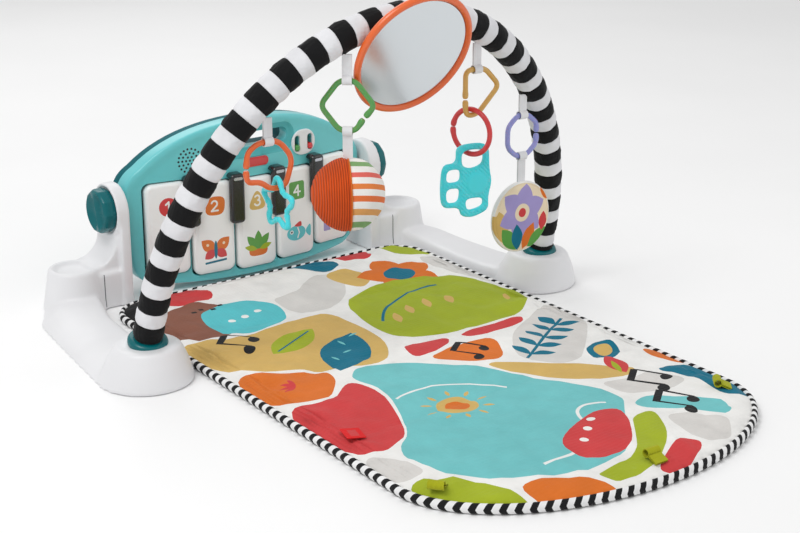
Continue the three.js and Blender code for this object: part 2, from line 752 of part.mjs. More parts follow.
const degrees = Math.PI / 180;
const hook = 2 * linkR + 0.6; // centre distance of two links that hang in each other

// Where each hanging toy meets the arch, and how far down its link's top bar lies.
const toys = {
  star: { x: -179, linkZ: 290, linkDrop: 56 },
  ball: { x: -87, forward: 9, linkZ: 353, linkDrop: 59, neck: 32, ballR: 43 },
  teether: { x: 110, linkZ: 339.7, linkDrop: 56, ringR: 28 },
  disc: { x: 200, linkZ: 266.7, linkDrop: 53.4, neck: 34.5 },
};

const orangeCorners = [
  [-29, -26], [-27, -9], [-13, 0], [14, 0], [33, -24], [22, -56], [2, -56], [-10, -46], [-28, -44], [-29.5, -31],
];
const greenCorners = [
  [21.3, -41.3], [31.5, -29.5], [9, 0], [-9, 0], [-31.5, -29.5], [-9, -59], [9, -59], [17.4, -46],
];
const tanCorners = [[-17, -33], [-17, 0], [12, 0], [35, -24], [2, -56], [-16, -56], [-17, -38]];
const lilacCorners = [
  [23.4, -24], [23.4, -13.4], [8, 0], [-8, 0], [-23.4, -13.4], [-23.4, -40], [-8, -53.4], [8, -53.4],
  [23.4, -40], [23.4, -29],
];

function starToy() {
  const { x, linkZ, linkDrop } = toys.star;
  const y = tubeY(x);
  const top = strapTop(x);
  return [
    at(x, y, top, 0, mesh("star_strap", strap(top - linkZ, eyeR), fabricWhite)),
    at(x, y, linkZ, 0, mesh("orange_link", splitLink(orangeCorners, 12), orange)),
    at(x + 12, y, linkZ - linkDrop + hook + 3.6, -72 * degrees,
      mesh("star_teether", starRing(30).translate(0, 0, -30), aqua)),
  ];
}

function ballToy() {
  const { x, forward, linkZ, linkDrop, neck, ballR } = toys.ball;
  const y = tubeY(x) - forward;
  const top = strapTop(x);
  const low = linkZ - linkDrop;
  return [
    at(x, y, top, -40 * degrees, mesh("ball_top_strap", strap(top - linkZ, eyeR), fabricWhite)),
    at(x, y, linkZ, -40 * degrees, mesh("green_link", splitLink(greenCorners, 9), green)),
    at(x, y, low, -40 * degrees, mesh("ball_strap", hangingStrap(neck, eyeR), fabricWhite)),
    at(x, y, low - neck - ballR - gap, -28 * degrees,
      mesh("ball_cord_half", ballHalf(-1), orange),
      mesh("ball_stripe_half", ballHalf(1), fabricWhite)),
  ];
}

function teetherToy() {
  const { x, linkZ, linkDrop, ringR } = toys.teether;
  const y = tubeY(x);
  const top = strapTop(x);
  const ringTop = linkZ - linkDrop + hook;
  const barHalf = 4.5;
  const barZ = ringTop - 2 * ringR + linkR + 0.6 + barHalf;
  const hookX = 9;
  return [
    at(x, y, top, 0, mesh("teether_strap", strap(top - linkZ, eyeR), fabricWhite)),
    at(x, y, linkZ, 0, mesh("tan_link", splitLink(tanCorners, 9), tan)),
    at(x - 7, y, ringTop - ringR, -75 * degrees, mesh("red_link", circleLink(ringR, Math.PI * 0.97), red)),
    at(x - 7, y, barZ - 42, -12 * degrees, mesh("loop_teether", teether().translate(-hookX, 0, 0), aqua)),
  ];
}

function discToy() {
  const { x, linkZ, linkDrop, neck } = toys.disc;
  const y = tubeY(x);
  const top = strapTop(x);
  return [
    at(x, y, top, 0, mesh("disc_top_strap", strap(top - linkZ, eyeR), fabricWhite)),
    at(x, y, linkZ, 0, mesh("lilac_link", splitLink(lilacCorners, 8), lilac)),
    at(x, y, linkZ - linkDrop, 0, mesh("print_disc", printDisc(neck), printed)),
  ];
}

function mirrorToy() {
  const reach = mirror.pinReach;
  const group = new THREE.Group();
  group.position.set(
    0,
    tubeY(0) - reach * Math.cos(mirror.tilt),
    tubeZ(0) - reach * Math.sin(mirror.tilt),
  );
  group.rotation.x = mirror.tilt;
  group.add(
    mesh("mirror_strap", mirrorStrap(), fabricWhite),
    mesh("mirror_frame", mirrorFrame(), orange),
    mesh("mirror_plate", mirrorPlate(), silver),
  );
  return group;
}

function archParts() {
  const group = new THREE.Group();
  group.position.z = arch.socketZ;
  group.rotation.x = arch.lean;
  const collar = (side) =>
    mesh(side < 0 ? "left_collar" : "right_collar", archCollar().translate(side * arch.halfSpan, 0, 0), darkTeal);
  group.add(
    mesh("left_arch_rod", archRod(-1), steel),
    mesh("right_arch_rod", archRod(1), steel),
    mesh("arch_connector", archConnector(), grey),
    mesh("arch_sleeve", archSleeve(), stripes),
    collar(-1),
    collar(1),
  );
  return group;
}

function baseParts(side) {
  const name = side < 0 ? "left" : "right";
  const knobBody = turned(
    [[knob.boltR + gap, 0], [26, 0], [30, 3], [30, 16], [28, 18.8], [22, 18.8], [18, 13], [0, 13], [0, 6],
      [knob.boltR + gap, 6], [knob.boltR + gap, 0]],
    24,
  ).rotateY(Math.PI / 2).translate(knob.x0, pivot.y, pivot.z);
  const bolt = rod(knob.boltR, 168, knob.x0 + 5.5).translate(0, pivot.y, pivot.z);
  return [
    mesh(`${name}_base_shell`, sided(baseShell(), side), white),
    mesh(`${name}_base_cover`, sided(baseCover(), side), grey),
    mesh(`${name}_knob`, sided(solid(knobBody), side), darkTeal),
    mesh(`${name}_knob_bolt`, sided(solid(bolt), side), steel),
  ];
}

function pianoParts() {
  const faceCentre = piano.faceY + piano.faceR;
  const onFace = (s, z, child) => {
    const turnedGroup = new THREE.Group();
    turnedGroup.position.y = faceCentre;
    turnedGroup.rotation.z = s / piano.faceR;
    child.position.set(0, -piano.faceR, z);
    turnedGroup.add(child);
    return turnedGroup;
  };
  const parts = [
    mesh("piano_front", panelFront(), teal),
    mesh("piano_back", panelBack(), darkTeal),
    mesh("battery_door", batteryDoor(), darkTeal),
    mesh("door_screw", doorScrew(), steel),
    mesh("speaker", speaker(), grey),
    mesh("circuit_board", circuitBoard(), board),
    mesh("key_pad", keyPad(), grey),
    mesh("switch_plate", switchPlate(), white),
    mesh("battery_contacts", box(27, 28, 275, 287, 66, 118), steel),
  ];
  [74, 92, 110].forEach((z, i) => {
    const battery = turned([[0, -25], [7, -25], [7, 23.5], [2.6, 23.5], [2.6, 25], [0, 25]], 14);
    parts.push(mesh(`battery_${i + 1}`, battery.rotateY(Math.PI / 2).translate(0, 281, z), cell));
  });
  keyPlaces.forEach((s, i) =>
    parts.push(onFace(s, keys.midZ + keyLift(s), mesh(`white_key_${i + 1}`, whiteKey(), keyWhite))),
  );
  blackPlaces.forEach((s, i) =>
    parts.push(onFace(s, 116 + keyLift(s), mesh(`black_key_${i + 1}`, blackKey(), black))),
  );
  slots.forEach((x, i) => {
    const y = faceCentre - Math.sqrt(piano.faceR ** 2 - x ** 2);
    const cap = mesh(i ? "mode_slider" : "volume_slider", sliderCap(), i ? red : green);
    cap.position.set(x, y, slotZ - 6);
    parts.push(cap);
  });
  return parts;
}

function matParts() {
  const tabs = [
    ["left_mat_loop", -208, -447, 40],
    ["front_mat_loop", 8, -541, 90],
    ["right_mat_loop", 214, -442, 140],
  ];
  return [
    mesh("mat_pad", matPad(), printed),
    mesh("mat_binding", matBinding(), stripes),
    ...tabs.map(([name, x, y, turn]) => at(x, y, mat.thickness + gap, turn * degrees, mesh(name, loopTab(), lime))),
  ];
}

const mirrorDrop = -33; // centre of the mirror below its pin, along its face

const gym = new THREE.Group();
gym.add(...baseParts(-1), ...baseParts(1), ...pianoParts(), ...matParts(), archParts(), mirrorToy());
gym.add(...starToy(), ...ballToy(), ...teetherToy(), ...discToy());

export default gym;
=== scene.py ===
import math

import bmesh
import bpy
import numpy as np
from mathutils import Matrix, Vector, noise
from mathutils.bvhtree import BVHTree
from mathutils.geometry import delaunay_2d_cdt


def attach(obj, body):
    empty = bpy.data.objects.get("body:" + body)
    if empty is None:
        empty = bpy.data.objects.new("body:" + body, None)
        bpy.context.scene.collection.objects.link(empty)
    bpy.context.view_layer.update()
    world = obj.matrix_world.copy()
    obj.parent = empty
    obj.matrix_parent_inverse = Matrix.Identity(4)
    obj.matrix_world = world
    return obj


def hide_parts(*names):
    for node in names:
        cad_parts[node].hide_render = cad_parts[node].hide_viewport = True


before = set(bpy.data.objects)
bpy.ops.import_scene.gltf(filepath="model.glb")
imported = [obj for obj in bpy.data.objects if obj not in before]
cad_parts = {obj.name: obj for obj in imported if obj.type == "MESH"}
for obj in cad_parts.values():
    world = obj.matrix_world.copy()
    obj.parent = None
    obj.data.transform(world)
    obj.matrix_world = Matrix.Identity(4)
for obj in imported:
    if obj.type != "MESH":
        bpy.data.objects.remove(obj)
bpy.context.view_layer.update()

MM = 0.001
TAU = 2 * math.pi

# A baby's activity gym: a piano between two floor bases, a striped arch with hanging toys, and a printed mat.
# Its own measures, in millimetres.
FACE_Y, FACE_R = 251.0, 845.0  # the piano's face: its nearest line and the radius of its curve
CENTRE_Y = FACE_Y + FACE_R
SOCKET_Z, RISE, HALF_SPAN = 47.0, 370.0, 300.0  # the arch over its two sockets
LEAN = math.atan(0.2811)
SOCKET_R = 13.8
PIVOT_Y, PIVOT_Z, HEAD_R = 283.0, 125.5, 36
MAT_HALF, MAT_REAR, MAT_CORNER, MAT_FRONT, MAT_DEPTH = 242.0, 234.0, 52.0, -415.0, 147.0
QUILTING, QUILT_SLOPE = (60, -115, -290), 0.06  # where the stitched lines cross the mat's middle
BAND_PERIOD = 39.0  # one black and one white band of the sleeve
BAR_STEP = 1.6  # between the points of a link's path
STRAP_INSET = 5  # how far a strap's top stands inside the sleeve
BALL_R, CORD_PITCH = 43.0, 1.15
KEY_PITCH, KEY_Z = 65.6, 79.5
SPEAKER_X, SPEAKER_Z, HOLE_SHADE_R = -95, 180, 1.6
SWITCHES = ((72, "volume", "green"), (94, "mode", "red"))


# ---------------------------------------------------------------- materials
def rgb(text):
    """Linear colour from a hex string."""
    parts = [int(text[i : i + 2], 16) / 255 for i in (0, 2, 4)]
    return tuple(((c + 0.055) / 1.055) ** 2.4 if c > 0.04 else c / 12.92 for c in parts) + (1.0,)


class Paint:
    """A node material being put together around one Principled shader."""

    def __init__(self, name, color, rough=0.45, **inputs):
        self.made = bpy.data.materials.new(name)
        self.made.use_nodes = True
        self.tree = self.made.node_tree
        self.shader = self.tree.nodes["Principled BSDF"]
        self.shader.inputs["Base Color"].default_value = rgb(color)
        self.shader.inputs["Roughness"].default_value = rough
        for key, value in inputs.items():
            self.shader.inputs[key.replace("_", " ")].default_value = value
        self.normal = None
        self.coords = self.node("ShaderNodeTexCoord").outputs["Object"]

    def node(self, kind, **settings):
        made = self.tree.nodes.new(kind)
        for key, value in settings.items():
            setattr(made, key, value)
        return made

    def link(self, source, target):
        self.tree.links.new(source, target)

    def math(self, operation, a, b=0.0):
        made = self.node("ShaderNodeMath", operation=operation)
        for value, socket in ((a, made.inputs[0]), (b, made.inputs[1])):
            if isinstance(value, (int, float)):
                socket.default_value = value
            else:
                self.link(value, socket)
        return made.outputs[0]

    def noise(self, scale, detail=3.0):
        made = self.node("ShaderNodeTexNoise")
        made.inputs["Scale"].default_value = scale
        made.inputs["Detail"].default_value = detail
        self.link(self.coords, made.inputs["Vector"])
        return made.outputs["Fac"]

    def attribute(self, name):
        return self.node("ShaderNodeAttribute", attribute_name=name).outputs["Fac"]

    def ramp(self, source, stops, constant=False):
        made = self.node("ShaderNodeValToRGB")
        made.color_ramp.interpolation = "CONSTANT" if constant else "LINEAR"
        elements = made.color_ramp.elements
        for k, (position, color) in enumerate(stops):
            element = elements[k] if k < 2 else elements.new(position)
            element.position, element.color = position, rgb(color)
        self.link(source, made.inputs["Fac"])
        return made.outputs["Color"]

    def bump(self, height, strength, distance):
        made = self.node("ShaderNodeBump")
        made.inputs["Strength"].default_value = strength
        made.inputs["Distance"].default_value = distance
        self.link(height, made.inputs["Height"])
        if self.normal:
            self.link(self.normal, made.inputs["Normal"])
        self.normal = made.outputs["Normal"]
        self.link(self.normal, self.shader.inputs["Normal"])
        return self

    def tint(self, amount=0.05, scale=14.0):
        """Slight unevenness of the colour, over whatever feeds the shader now."""
        base = self.shader.inputs["Base Color"]
        mix = self.node("ShaderNodeMix", data_type="RGBA", blend_type="MULTIPLY")
        mix.inputs["Factor"].default_value = 1.0
        if base.links:
            self.link(base.links[0].from_socket, mix.inputs[6])
        else:
            mix.inputs[6].default_value = base.default_value
        dark = "%02x" % int(255 * (1 - amount))
        self.link(self.ramp(self.noise(scale), [(0.3, dark * 3), (0.7, "ffffff")]), mix.inputs[7])
        self.link(mix.outputs[2], base)
        return self


def plastic(name, color, rough=0.34, coat=0.25, grain=0.05, **inputs):
    """Moulded plastic: a fine texture from the mould, handling marks in the gloss."""
    paint = Paint(name, color, rough, Coat_Weight=coat, Coat_Roughness=0.2, **inputs)
    paint.bump(paint.noise(900, 2), grain, 0.0004)
    wear = paint.node("ShaderNodeMapRange")
    wear.inputs["To Min"].default_value = rough - 0.05
    wear.inputs["To Max"].default_value = rough + 0.09
    paint.link(paint.noise(23, 5), wear.inputs["Value"])
    paint.link(wear.outputs[0], paint.shader.inputs["Roughness"])
    return paint.tint(0.03, 6).made


def weave(paint, per_metre=1150.0, strength=0.35):
    """Plain weave: threads over and under in both directions."""
    waves = []
    for direction in ("X", "Y", "Z"):
        wave = paint.node("ShaderNodeTexWave", wave_type="BANDS", bands_direction=direction)
        wave.inputs["Scale"].default_value = per_metre / 20
        wave.inputs["Distortion"].default_value = 0.6
        paint.link(paint.coords, wave.inputs["Vector"])
        waves.append(wave.outputs["Fac"])
    both = paint.math("MULTIPLY", paint.math("ADD", waves[0], waves[2]), waves[1])
    paint.bump(both, strength, 0.0004)
    return paint.bump(paint.noise(60, 4), 0.25, 0.0015)


def cloth(name, color, per_metre=1150.0, strength=0.3, wrinkle=0.0):
    """Matt woven cloth, with soft folds where wrinkle isn't 0."""
    paint = Paint(name, color, 0.85, Sheen_Weight=0.05, Specular_IOR_Level=0.25)
    if wrinkle:
        paint.bump(paint.noise(38, 2), wrinkle, 0.006)
    return weave(paint, per_metre, strength).tint(0.05, 30).made


def diagonal_cloth(name):
    """Binding with slanting black and white stripes, from the piece's along and around values."""
    paint = Paint(name, "ffffff", 0.85, Sheen_Weight=0.03, Specular_IOR_Level=0.25)
    slant = paint.math("ADD", paint.attribute("along"), paint.attribute("around"))
    fraction = paint.math("FRACT", slant)
    stripes = paint.ramp(fraction, [(0.0, "18181a"), (0.5, "efefef")], True)
    paint.link(stripes, paint.shader.inputs["Base Color"])
    return weave(paint).tint(0.04, 40).made


def corduroy(name, color):
    """Ribbed pile, from the piece's around value: a bump raises the ribs, and painted shade darkens the
    colour between them.
    """
    paint = Paint(name, color, 0.9, Sheen_Weight=0.06, Specular_IOR_Level=0.2)
    rib = paint.math("ABSOLUTE", paint.math("SINE", paint.attribute("around")))
    paint.bump(rib, 0.9, 0.0016)
    # Painted shade: the colour turns darker orange in the hollows between the ribs.
    painted_rib_shade = paint.ramp(rib, [(0.0, "b8420f"), (0.6, color)])
    paint.link(painted_rib_shade, paint.shader.inputs["Base Color"])
    return paint.bump(paint.noise(500, 3), 0.3, 0.0006).tint(0.06, 40).made


def striped_jersey(name):
    """Soft white knit with printed bands, from the piece's around value."""
    ground = "f4f1ec"
    paint = Paint(name, ground, 0.85, Sheen_Weight=0.05)
    bands = [(0.0, ground)]
    for low, high, color in (
        (0.08, 0.14, "7fa96b"), (0.21, 0.28, "e2a25c"), (0.36, 0.43, "e8743a"), (0.51, 0.575, "e8823c"),
        (0.655, 0.715, "e5685c"), (0.8, 0.86, "7fa96b"), (0.93, 1.0, "e2a25c"),
    ):
        bands += [(low, color), (high, ground)]
    paint.link(paint.ramp(paint.attribute("around"), bands, True), paint.shader.inputs["Base Color"])
    return weave(paint, 1400, 0.3).tint(0.04, 40).made


def metal(name, color, rough=0.3):
    paint = Paint(name, color, rough, Metallic=1.0)
    return paint.bump(paint.noise(220, 2), 0.08, 0.0004).tint(0.04, 50).made


WHITE = plastic("white_plastic", "eaeaec", 0.42, 0.12)
KEY_WHITE = plastic("key_white", "f8f8f7", 0.3, 0.3)
TEAL = plastic("teal_plastic", "6accd0", 0.3, 0.3)
# Painted shade: a darker teal for the hollow round the piano's handle.
TEAL_RECESS_SHADE = plastic("teal_recess_painted_shade", "4ab0b5", 0.4, 0.2)
DARK_TEAL = plastic("dark_teal_gloss", "00666c", 0.22, 0.12, Specular_IOR_Level=0.3)
BACK_TEAL = plastic("dark_teal_satin", "00626a", 0.5, 0.0, 0.15, Specular_IOR_Level=0.12)
BLACK = plastic("key_black", "131315", 0.22, 0.6)
# Painted highlight: silver metal strips at the top of the black keys stand in for their glint.
KEY_GLINT_SILVER = metal("black_key_highlight_silver", "c9ccd2", 0.25)
GREY = plastic("grey_plastic", "4e5256", 0.55, 0.0)
ORANGE = plastic("orange_plastic", "ee6a2c", 0.3, 0.4, Subsurface_Weight=0.08)
GREEN = plastic("green_plastic", "4f9a4a", 0.3, 0.4, Subsurface_Weight=0.08)
TAN = plastic("tan_plastic", "d3a552", 0.32, 0.35, Subsurface_Weight=0.08)
RED = plastic("red_plastic", "d8363a", 0.3, 0.4, Subsurface_Weight=0.08)
LILAC = plastic("lilac_plastic", "8f97d6", 0.3, 0.4, Subsurface_Weight=0.1)
AQUA = plastic("aqua_rubber", "3adfe8", 0.36, 0.25, 0.2, Subsurface_Weight=0.15)
STEEL = metal("steel", "b8bcc0", 0.32)
MIRROR = Paint("mirror_film", "d5dadd", 0.13, Metallic=1.0)
MIRROR = MIRROR.bump(MIRROR.noise(9, 1), 0.05, 0.004).made
STRAP = cloth("strap_fabric", "ebebed", 1500, 0.4)
SLEEVE_WHITE = cloth("sleeve_white", "e6e6e9", 1300, 0.25, 0.7)
SLEEVE_BLACK = cloth("sleeve_black", "0e0e10", 1300, 0.35, 0.7)
BINDING = diagonal_cloth("striped_fabric")
LIME_TAPE = cloth("lime_tape", "a8ab17", 1700, 0.5)
TAG_RED = cloth("tag_red", "e0191c", 1700, 0.4)
CORDUROY = corduroy("orange_corduroy", "ea5a1c")
JERSEY = striped_jersey("striped_jersey")
PRINT = {
    "white": "f3f2ef", "turquoise": "74c6c8", "coral": "d24244", "lime": "a6b528", "orange": "df7428",
    "tan": "d8b468", "petrol": "04708a", "grey": "dcd9d5", "black": "19191b", "aqua": "5cc7cf",
    "lilac": "a79bd0", "brown": "8c5b4a", "green": "5da048", "red": "d3363a", "cream": "f1dfc0",
}
CLOTH_PRINT = {key: cloth("print_" + key, color) for key, color in PRINT.items()}
INK = {key: plastic("ink_" + key, color, 0.32, 0.35) for key, color in PRINT.items()}


# ---------------------------------------------------------------- mesh building
def show(name, data):
    """A new object in the scene from a mesh, light or camera."""
    made = bpy.data.objects.new(name, data)
    bpy.context.scene.collection.objects.link(made)
    return made


def build(name, points, faces, materials, which=None, sharp=40.0):
    """A smooth-shaded piece from points in millimetres; which is each face's material."""
    mesh = bpy.data.meshes.new(name)
    mesh.from_pydata((np.asarray(points, float) * MM).tolist(), [], faces)
    for material in materials:
        mesh.materials.append(material)
    if which is not None:
        mesh.polygons.foreach_set("material_index", np.asarray(which, np.int32))
    mesh.polygons.foreach_set("use_smooth", [True] * len(mesh.polygons))
    mesh.update()
    mesh.validate()
    if sharp:
        mesh.set_sharp_from_angle(angle=math.radians(sharp))
    return show(name, mesh)


def turn_outward(piece):
    bm = bmesh.new()
    bm.from_mesh(piece.data)
    bmesh.ops.recalc_face_normals(bm, faces=bm.faces)
    bm.to_mesh(piece.data)
    bm.free()
    return piece


def solid(name, points, faces, material, sharp=50):
    """A closed piece of one material."""
    return turn_outward(build(name, points, faces, [material], None, sharp))


def place(piece, body, slot, *nodes):
    """Binds a piece to its body, in place of the CAD nodes it stands for. The slot argument is not used."""
    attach(piece, body)
    if nodes:
        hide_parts(*nodes)


def evaluated(piece):
    """The mesh of a piece with its modifiers applied."""
    bpy.context.view_layer.update()
    return bpy.data.meshes.new_from_object(piece.evaluated_get(bpy.context.evaluated_depsgraph_get()))


def attribute(piece, name, values):
    """Writes one value per vertex, for the materials to read."""
    data = piece.data.attributes
    made = data.get(name) or data.new(name, "FLOAT", "POINT")
    made.data.foreach_set("value", np.asarray(values, np.float32))


def grid_faces(rows, columns, closed_rows=False, closed_columns=True):
    """Quads between rows of points that are numbered row by row."""
    faces = []
    for i in range(rows if closed_rows else rows - 1):
        for j in range(columns if closed_columns else columns - 1):
            a, b = i * columns + j, i * columns + (j + 1) % columns
            c, d = ((i + 1) % rows) * columns + j, ((i + 1) % rows) * columns + (j + 1) % columns
            faces.append((a, b, d, c))
    return faces


def end_caps(rows, sides):
    """The faces over the first and the last ring."""
    last = (rows - 1) * sides
    return [tuple(range(sides))[::-1], tuple(last + j for j in range(sides))]


def lathe(profile, sides=72):
    """Points and faces of (radius, height) pairs turned about Z, with a face over each end."""
    angle = np.arange(sides) * TAU / sides
    points = [(r * math.cos(a), r * math.sin(a), z) for r, z in profile for a in angle]
    return np.array(points), grid_faces(len(profile), sides) + end_caps(len(profile), sides)


def loft(rings):
    """Points and faces of a solid through rings of points."""
    n = len(rings[0])
    return np.concatenate(rings), grid_faces(len(rings), n) + end_caps(len(rings), n)


def prism(loop, low, high, axis):
    """A flat outline pushed along the named axis."""
    return loft([np.insert(np.array(loop, float), "xyz".index(axis), end, axis=1) for end in (low, high)])


def moved(points, matrix):
    m = np.array(matrix)
    return np.asarray(points, float) @ m[:3, :3].T + m[:3, 3]


def spot(x, y, z, yaw=0.0):
    """A place in the object, turned about Z by degrees."""
    return Matrix.Translation((x, y, z)) @ Matrix.Rotation(math.radians(yaw), 4, "Z")


def carry(piece, matrix):
    """Moves a finished piece by a matrix in millimetres."""
    piece.data.transform(Matrix.Translation(matrix.translation * MM) @ matrix.to_3x3().to_4x4())


def run_length(path):
    """Distance along a path at each of its points."""
    return np.concatenate([[0], np.cumsum(np.linalg.norm(np.diff(path, axis=0), axis=1))])


def at_lengths(path, lengths):
    """Points of a path at the given distances along it."""
    along = run_length(path)
    return np.stack([np.interp(lengths, along, column) for column in path.T], 1)


def tube(name, path, radius, materials, sides=16, closed=True, flat=1.0, up=(0, 0, 1), which=None):
    """Tube along a list of points; flat squeezes it along up. Carries along and around values."""
    path = np.asarray(path, float)
    n = len(path)
    ahead = np.roll(path, -1, 0) - np.roll(path, 1, 0) if closed else np.gradient(path, axis=0)
    ahead /= np.linalg.norm(ahead, axis=1)[:, None]
    side = np.cross(ahead, np.asarray(up, float))
    side /= np.linalg.norm(side, axis=1)[:, None]
    over = np.cross(side, ahead)
    radius = np.broadcast_to(np.asarray(radius, float), (n,))
    angle = np.arange(sides) * TAU / sides
    cosine, sine = np.cos(angle)[None, :, None], np.sin(angle)[None, :, None]
    ring = path[:, None] + radius[:, None, None] * (cosine * side[:, None] + flat * sine * over[:, None])
    faces = grid_faces(n, sides, closed)
    if not closed:
        faces += end_caps(n, sides)
        which = list(which) + [0, 0] if which is not None else None
    made = turn_outward(build(name, ring.reshape(-1, 3), faces, materials, which, 50))
    attribute(made, "along", np.repeat(run_length(path), sides))
    attribute(made, "around", np.tile(angle, n))
    return made


def inside(points, loop):
    """Whether each flat point is inside the loop."""
    x, y = points[:, 0], points[:, 1]
    hit = np.zeros(len(points), bool)
    for (x0, y0), (x1, y1) in zip(loop, list(loop[1:]) + [loop[0]]):
        if y0 != y1:
            hit ^= ((y0 > y) != (y1 > y)) & (x < (x1 - x0) * (y - y0) / (y1 - y0) + x0)
    return hit


def edge_distance(points, loops):
    """Distance of each flat point to the nearest of the loops."""
    best = np.full(len(points), 1e9)
    for loop in loops:
        a = np.asarray(loop, float)
        b = np.roll(a, -1, 0)
        for p, q in zip(a, b):
            d = q - p
            t = np.clip(((points - p) @ d) / max(d @ d, 1e-9), 0, 1)
            best = np.minimum(best, np.linalg.norm(points - p - t[:, None] * d, axis=1))
    return best


def offset(loop, distance):
    """The loop moved inwards (it runs anticlockwise) by distance."""
    a = np.asarray(loop, float)
    t = np.roll(a, -1, 0) - np.roll(a, 1, 0)
    t /= np.linalg.norm(t, axis=1)[:, None]
    return [tuple(p) for p in a + distance * np.stack([-t[:, 1], t[:, 0]], 1)]


def sheet(outline, holes, shapes, spacing, rings):
    """Triangles of an outline with holes, cut along every printed shape: points, triangles, shape numbers."""
    points, edges = [], []
    loops = [outline, *holes, *(loop for loop, _ in shapes)]
    loops += [offset(outline, d) for d in rings] + [offset(hole, -d) for hole in holes for d in rings]
    for loop in loops:
        start = len(points)
        points.extend(loop)
        edges.extend((start + i, start + (i + 1) % len(loop)) for i in range(len(loop)))
    low, high = np.min(outline, 0), np.max(outline, 0)
    us, vs = np.meshgrid(np.arange(low[0], high[0], spacing), np.arange(low[1], high[1], spacing))
    us[1::2] += spacing / 2
    lattice = np.stack([us.ravel(), vs.ravel()], 1)
    lattice = lattice[inside(lattice, outline)]
    points.extend(map(tuple, lattice[edge_distance(lattice, [outline, *holes]) > 0.6 * spacing]))
    made = delaunay_2d_cdt([Vector(p) for p in points], edges, [], 0, 1e-3)
    flat = np.array([(p.x, p.y) for p in made[0]])
    faces = np.array([f for f in made[2] if len(f) == 3])
    middle = flat[faces].mean(1)
    keep = inside(middle, outline)
    for hole in holes:
        keep &= ~inside(middle, hole)
    faces, middle = faces[keep], middle[keep]
    which = np.zeros(len(faces), int)
    for k, (loop, _) in enumerate(shapes):
        which[inside(middle, loop)] = k + 1
    used = np.unique(faces)
    renumber = np.full(len(flat), -1)
    renumber[used] = np.arange(len(used))
    return flat[used], renumber[faces], which


def pillow(name, outline, put, front, back, base, holes=(), shapes=(), spacing=5.0, rings=(0.7, 1.6, 3.0),
           sharp=40):
    """A closed slab between two heights over its outline, with flat shapes printed on its front.

    front and back give the heights, put turns (u, v, height) into points, and rings are the
    distances from the edges that get rows of points of their own.
    """
    flat, faces, which = sheet(outline, holes, shapes, spacing, rings)
    d = edge_distance(flat, [outline, *holes])
    tops = put(flat[:, 0], flat[:, 1], front(flat, d))
    bottoms = put(flat[:, 0], flat[:, 1], back(flat, d))
    n = len(flat)
    count = {}
    for a, b, c in faces:
        for edge in ((a, b), (b, c), (c, a)):
            key = (min(edge), max(edge))
            count[key] = None if key in count else edge
    walls = [(b, a, a + n, b + n) for a, b in (edge for edge in count.values() if edge)]
    every = [tuple(map(int, f)) for f in faces] + [tuple(int(i) + n for i in f[::-1]) for f in faces]
    every += [tuple(map(int, w)) for w in walls]
    names = [base] + [material for _, material in shapes]
    materials = list(dict.fromkeys(names))
    slots = [materials.index(material) for material in names]
    index = [slots[k] for k in which] + [0] * (len(faces) + len(walls))
    return turn_outward(build(name, np.concatenate([tops, bottoms]), every, materials, index, sharp))


def rounded(radius, depth=0.0):
    """A height function that rolls off over radius at every edge."""
    return lambda flat, d: depth - (radius - np.sqrt(radius**2 - np.clip(radius - d, 0, radius) ** 2))


def level(height):
    """A height function that is the same everywhere."""
    return lambda flat, d: np.full(len(flat), float(height))


# ---------------------------------------------------------------- flat shapes, all anticlockwise
def turned(u, v, x, y, turn):
    """Points (u, v) turned by degrees about the origin and moved to x, y."""
    c, s = math.cos(math.radians(turn)), math.sin(math.radians(turn))
    return [(x + a * c - b * s, y + a * s + b * c) for a, b in zip(u, v)]


def oval(cx, cy, rx, ry, turn=0.0, steps=28, start=0.0, sweep=360.0):
    a = np.radians(start + np.arange(steps) * sweep / (steps if sweep == 360 else steps - 1))
    return turned(rx * np.cos(a), ry * np.sin(a), cx, cy, turn)


def blob(*corners, soft=0.4, steps=6):
    """Outline with straight sides and every corner rounded by its share of the shorter side."""
    points, n = [], len(corners)
    c = np.array(corners, float)
    for i in range(n):
        before, b, after = c[i - 1], c[i], c[(i + 1) % n]
        a, e = b + soft * (before - b), b + soft * (after - b)
        for t in np.linspace(0, 1, steps):
            points.append(tuple((1 - t) ** 2 * a + 2 * t * (1 - t) * b + t * t * e))
    area = sum(p[0] * q[1] - q[0] * p[1] for p, q in zip(points, points[1:] + points[:1]))
    return points if area > 0 else points[::-1]


def box_loop(x0, x1, y0, y1, r, steps=6):
    """Rectangle with round corners."""
    points = []
    left, right, front, rear = x0 + r, x1 - r, y0 + r, y1 - r
    for cx, cy, start in ((right, rear, 0), (left, rear, 90), (left, front, 180), (right, front, 270)):
        points += oval(cx, cy, r, r, 0, steps + 1, start, 90)
    return points


def leaf(x, y, length, width, turn):
    """Pointed leaf from its stalk at x, y."""
    t = np.linspace(0, 1, 12)
    half = width / 2 * np.sin(math.pi * t) ** 0.9
    u = np.concatenate([t * length, t[-2:0:-1] * length])
    return turned(u, np.concatenate([-half, half[-2:0:-1]]), x, y, turn)


def curve(start, *parts, steps=12):
    """Outline of quadratic curves, each given by its control point and its end."""
    points, p = [], np.array(start, float)
    for control, end in parts:
        c, e = np.array(control, float), np.array(end, float)
        shares = np.arange(steps) / steps
        points += [tuple((1 - t) ** 2 * p + 2 * t * (1 - t) * c + t * t * e) for t in shares]
        p = e
    return points


def stroke(points, width):
    """Outline of a line of even width."""
    p = np.array(points, float)
    t = np.gradient(p, axis=0)
    t /= np.linalg.norm(t, axis=1)[:, None]
    n = np.stack([-t[:, 1], t[:, 0]], 1) * width / 2
    return [tuple(q) for q in np.concatenate([p - n, (p + n)[::-1]])]


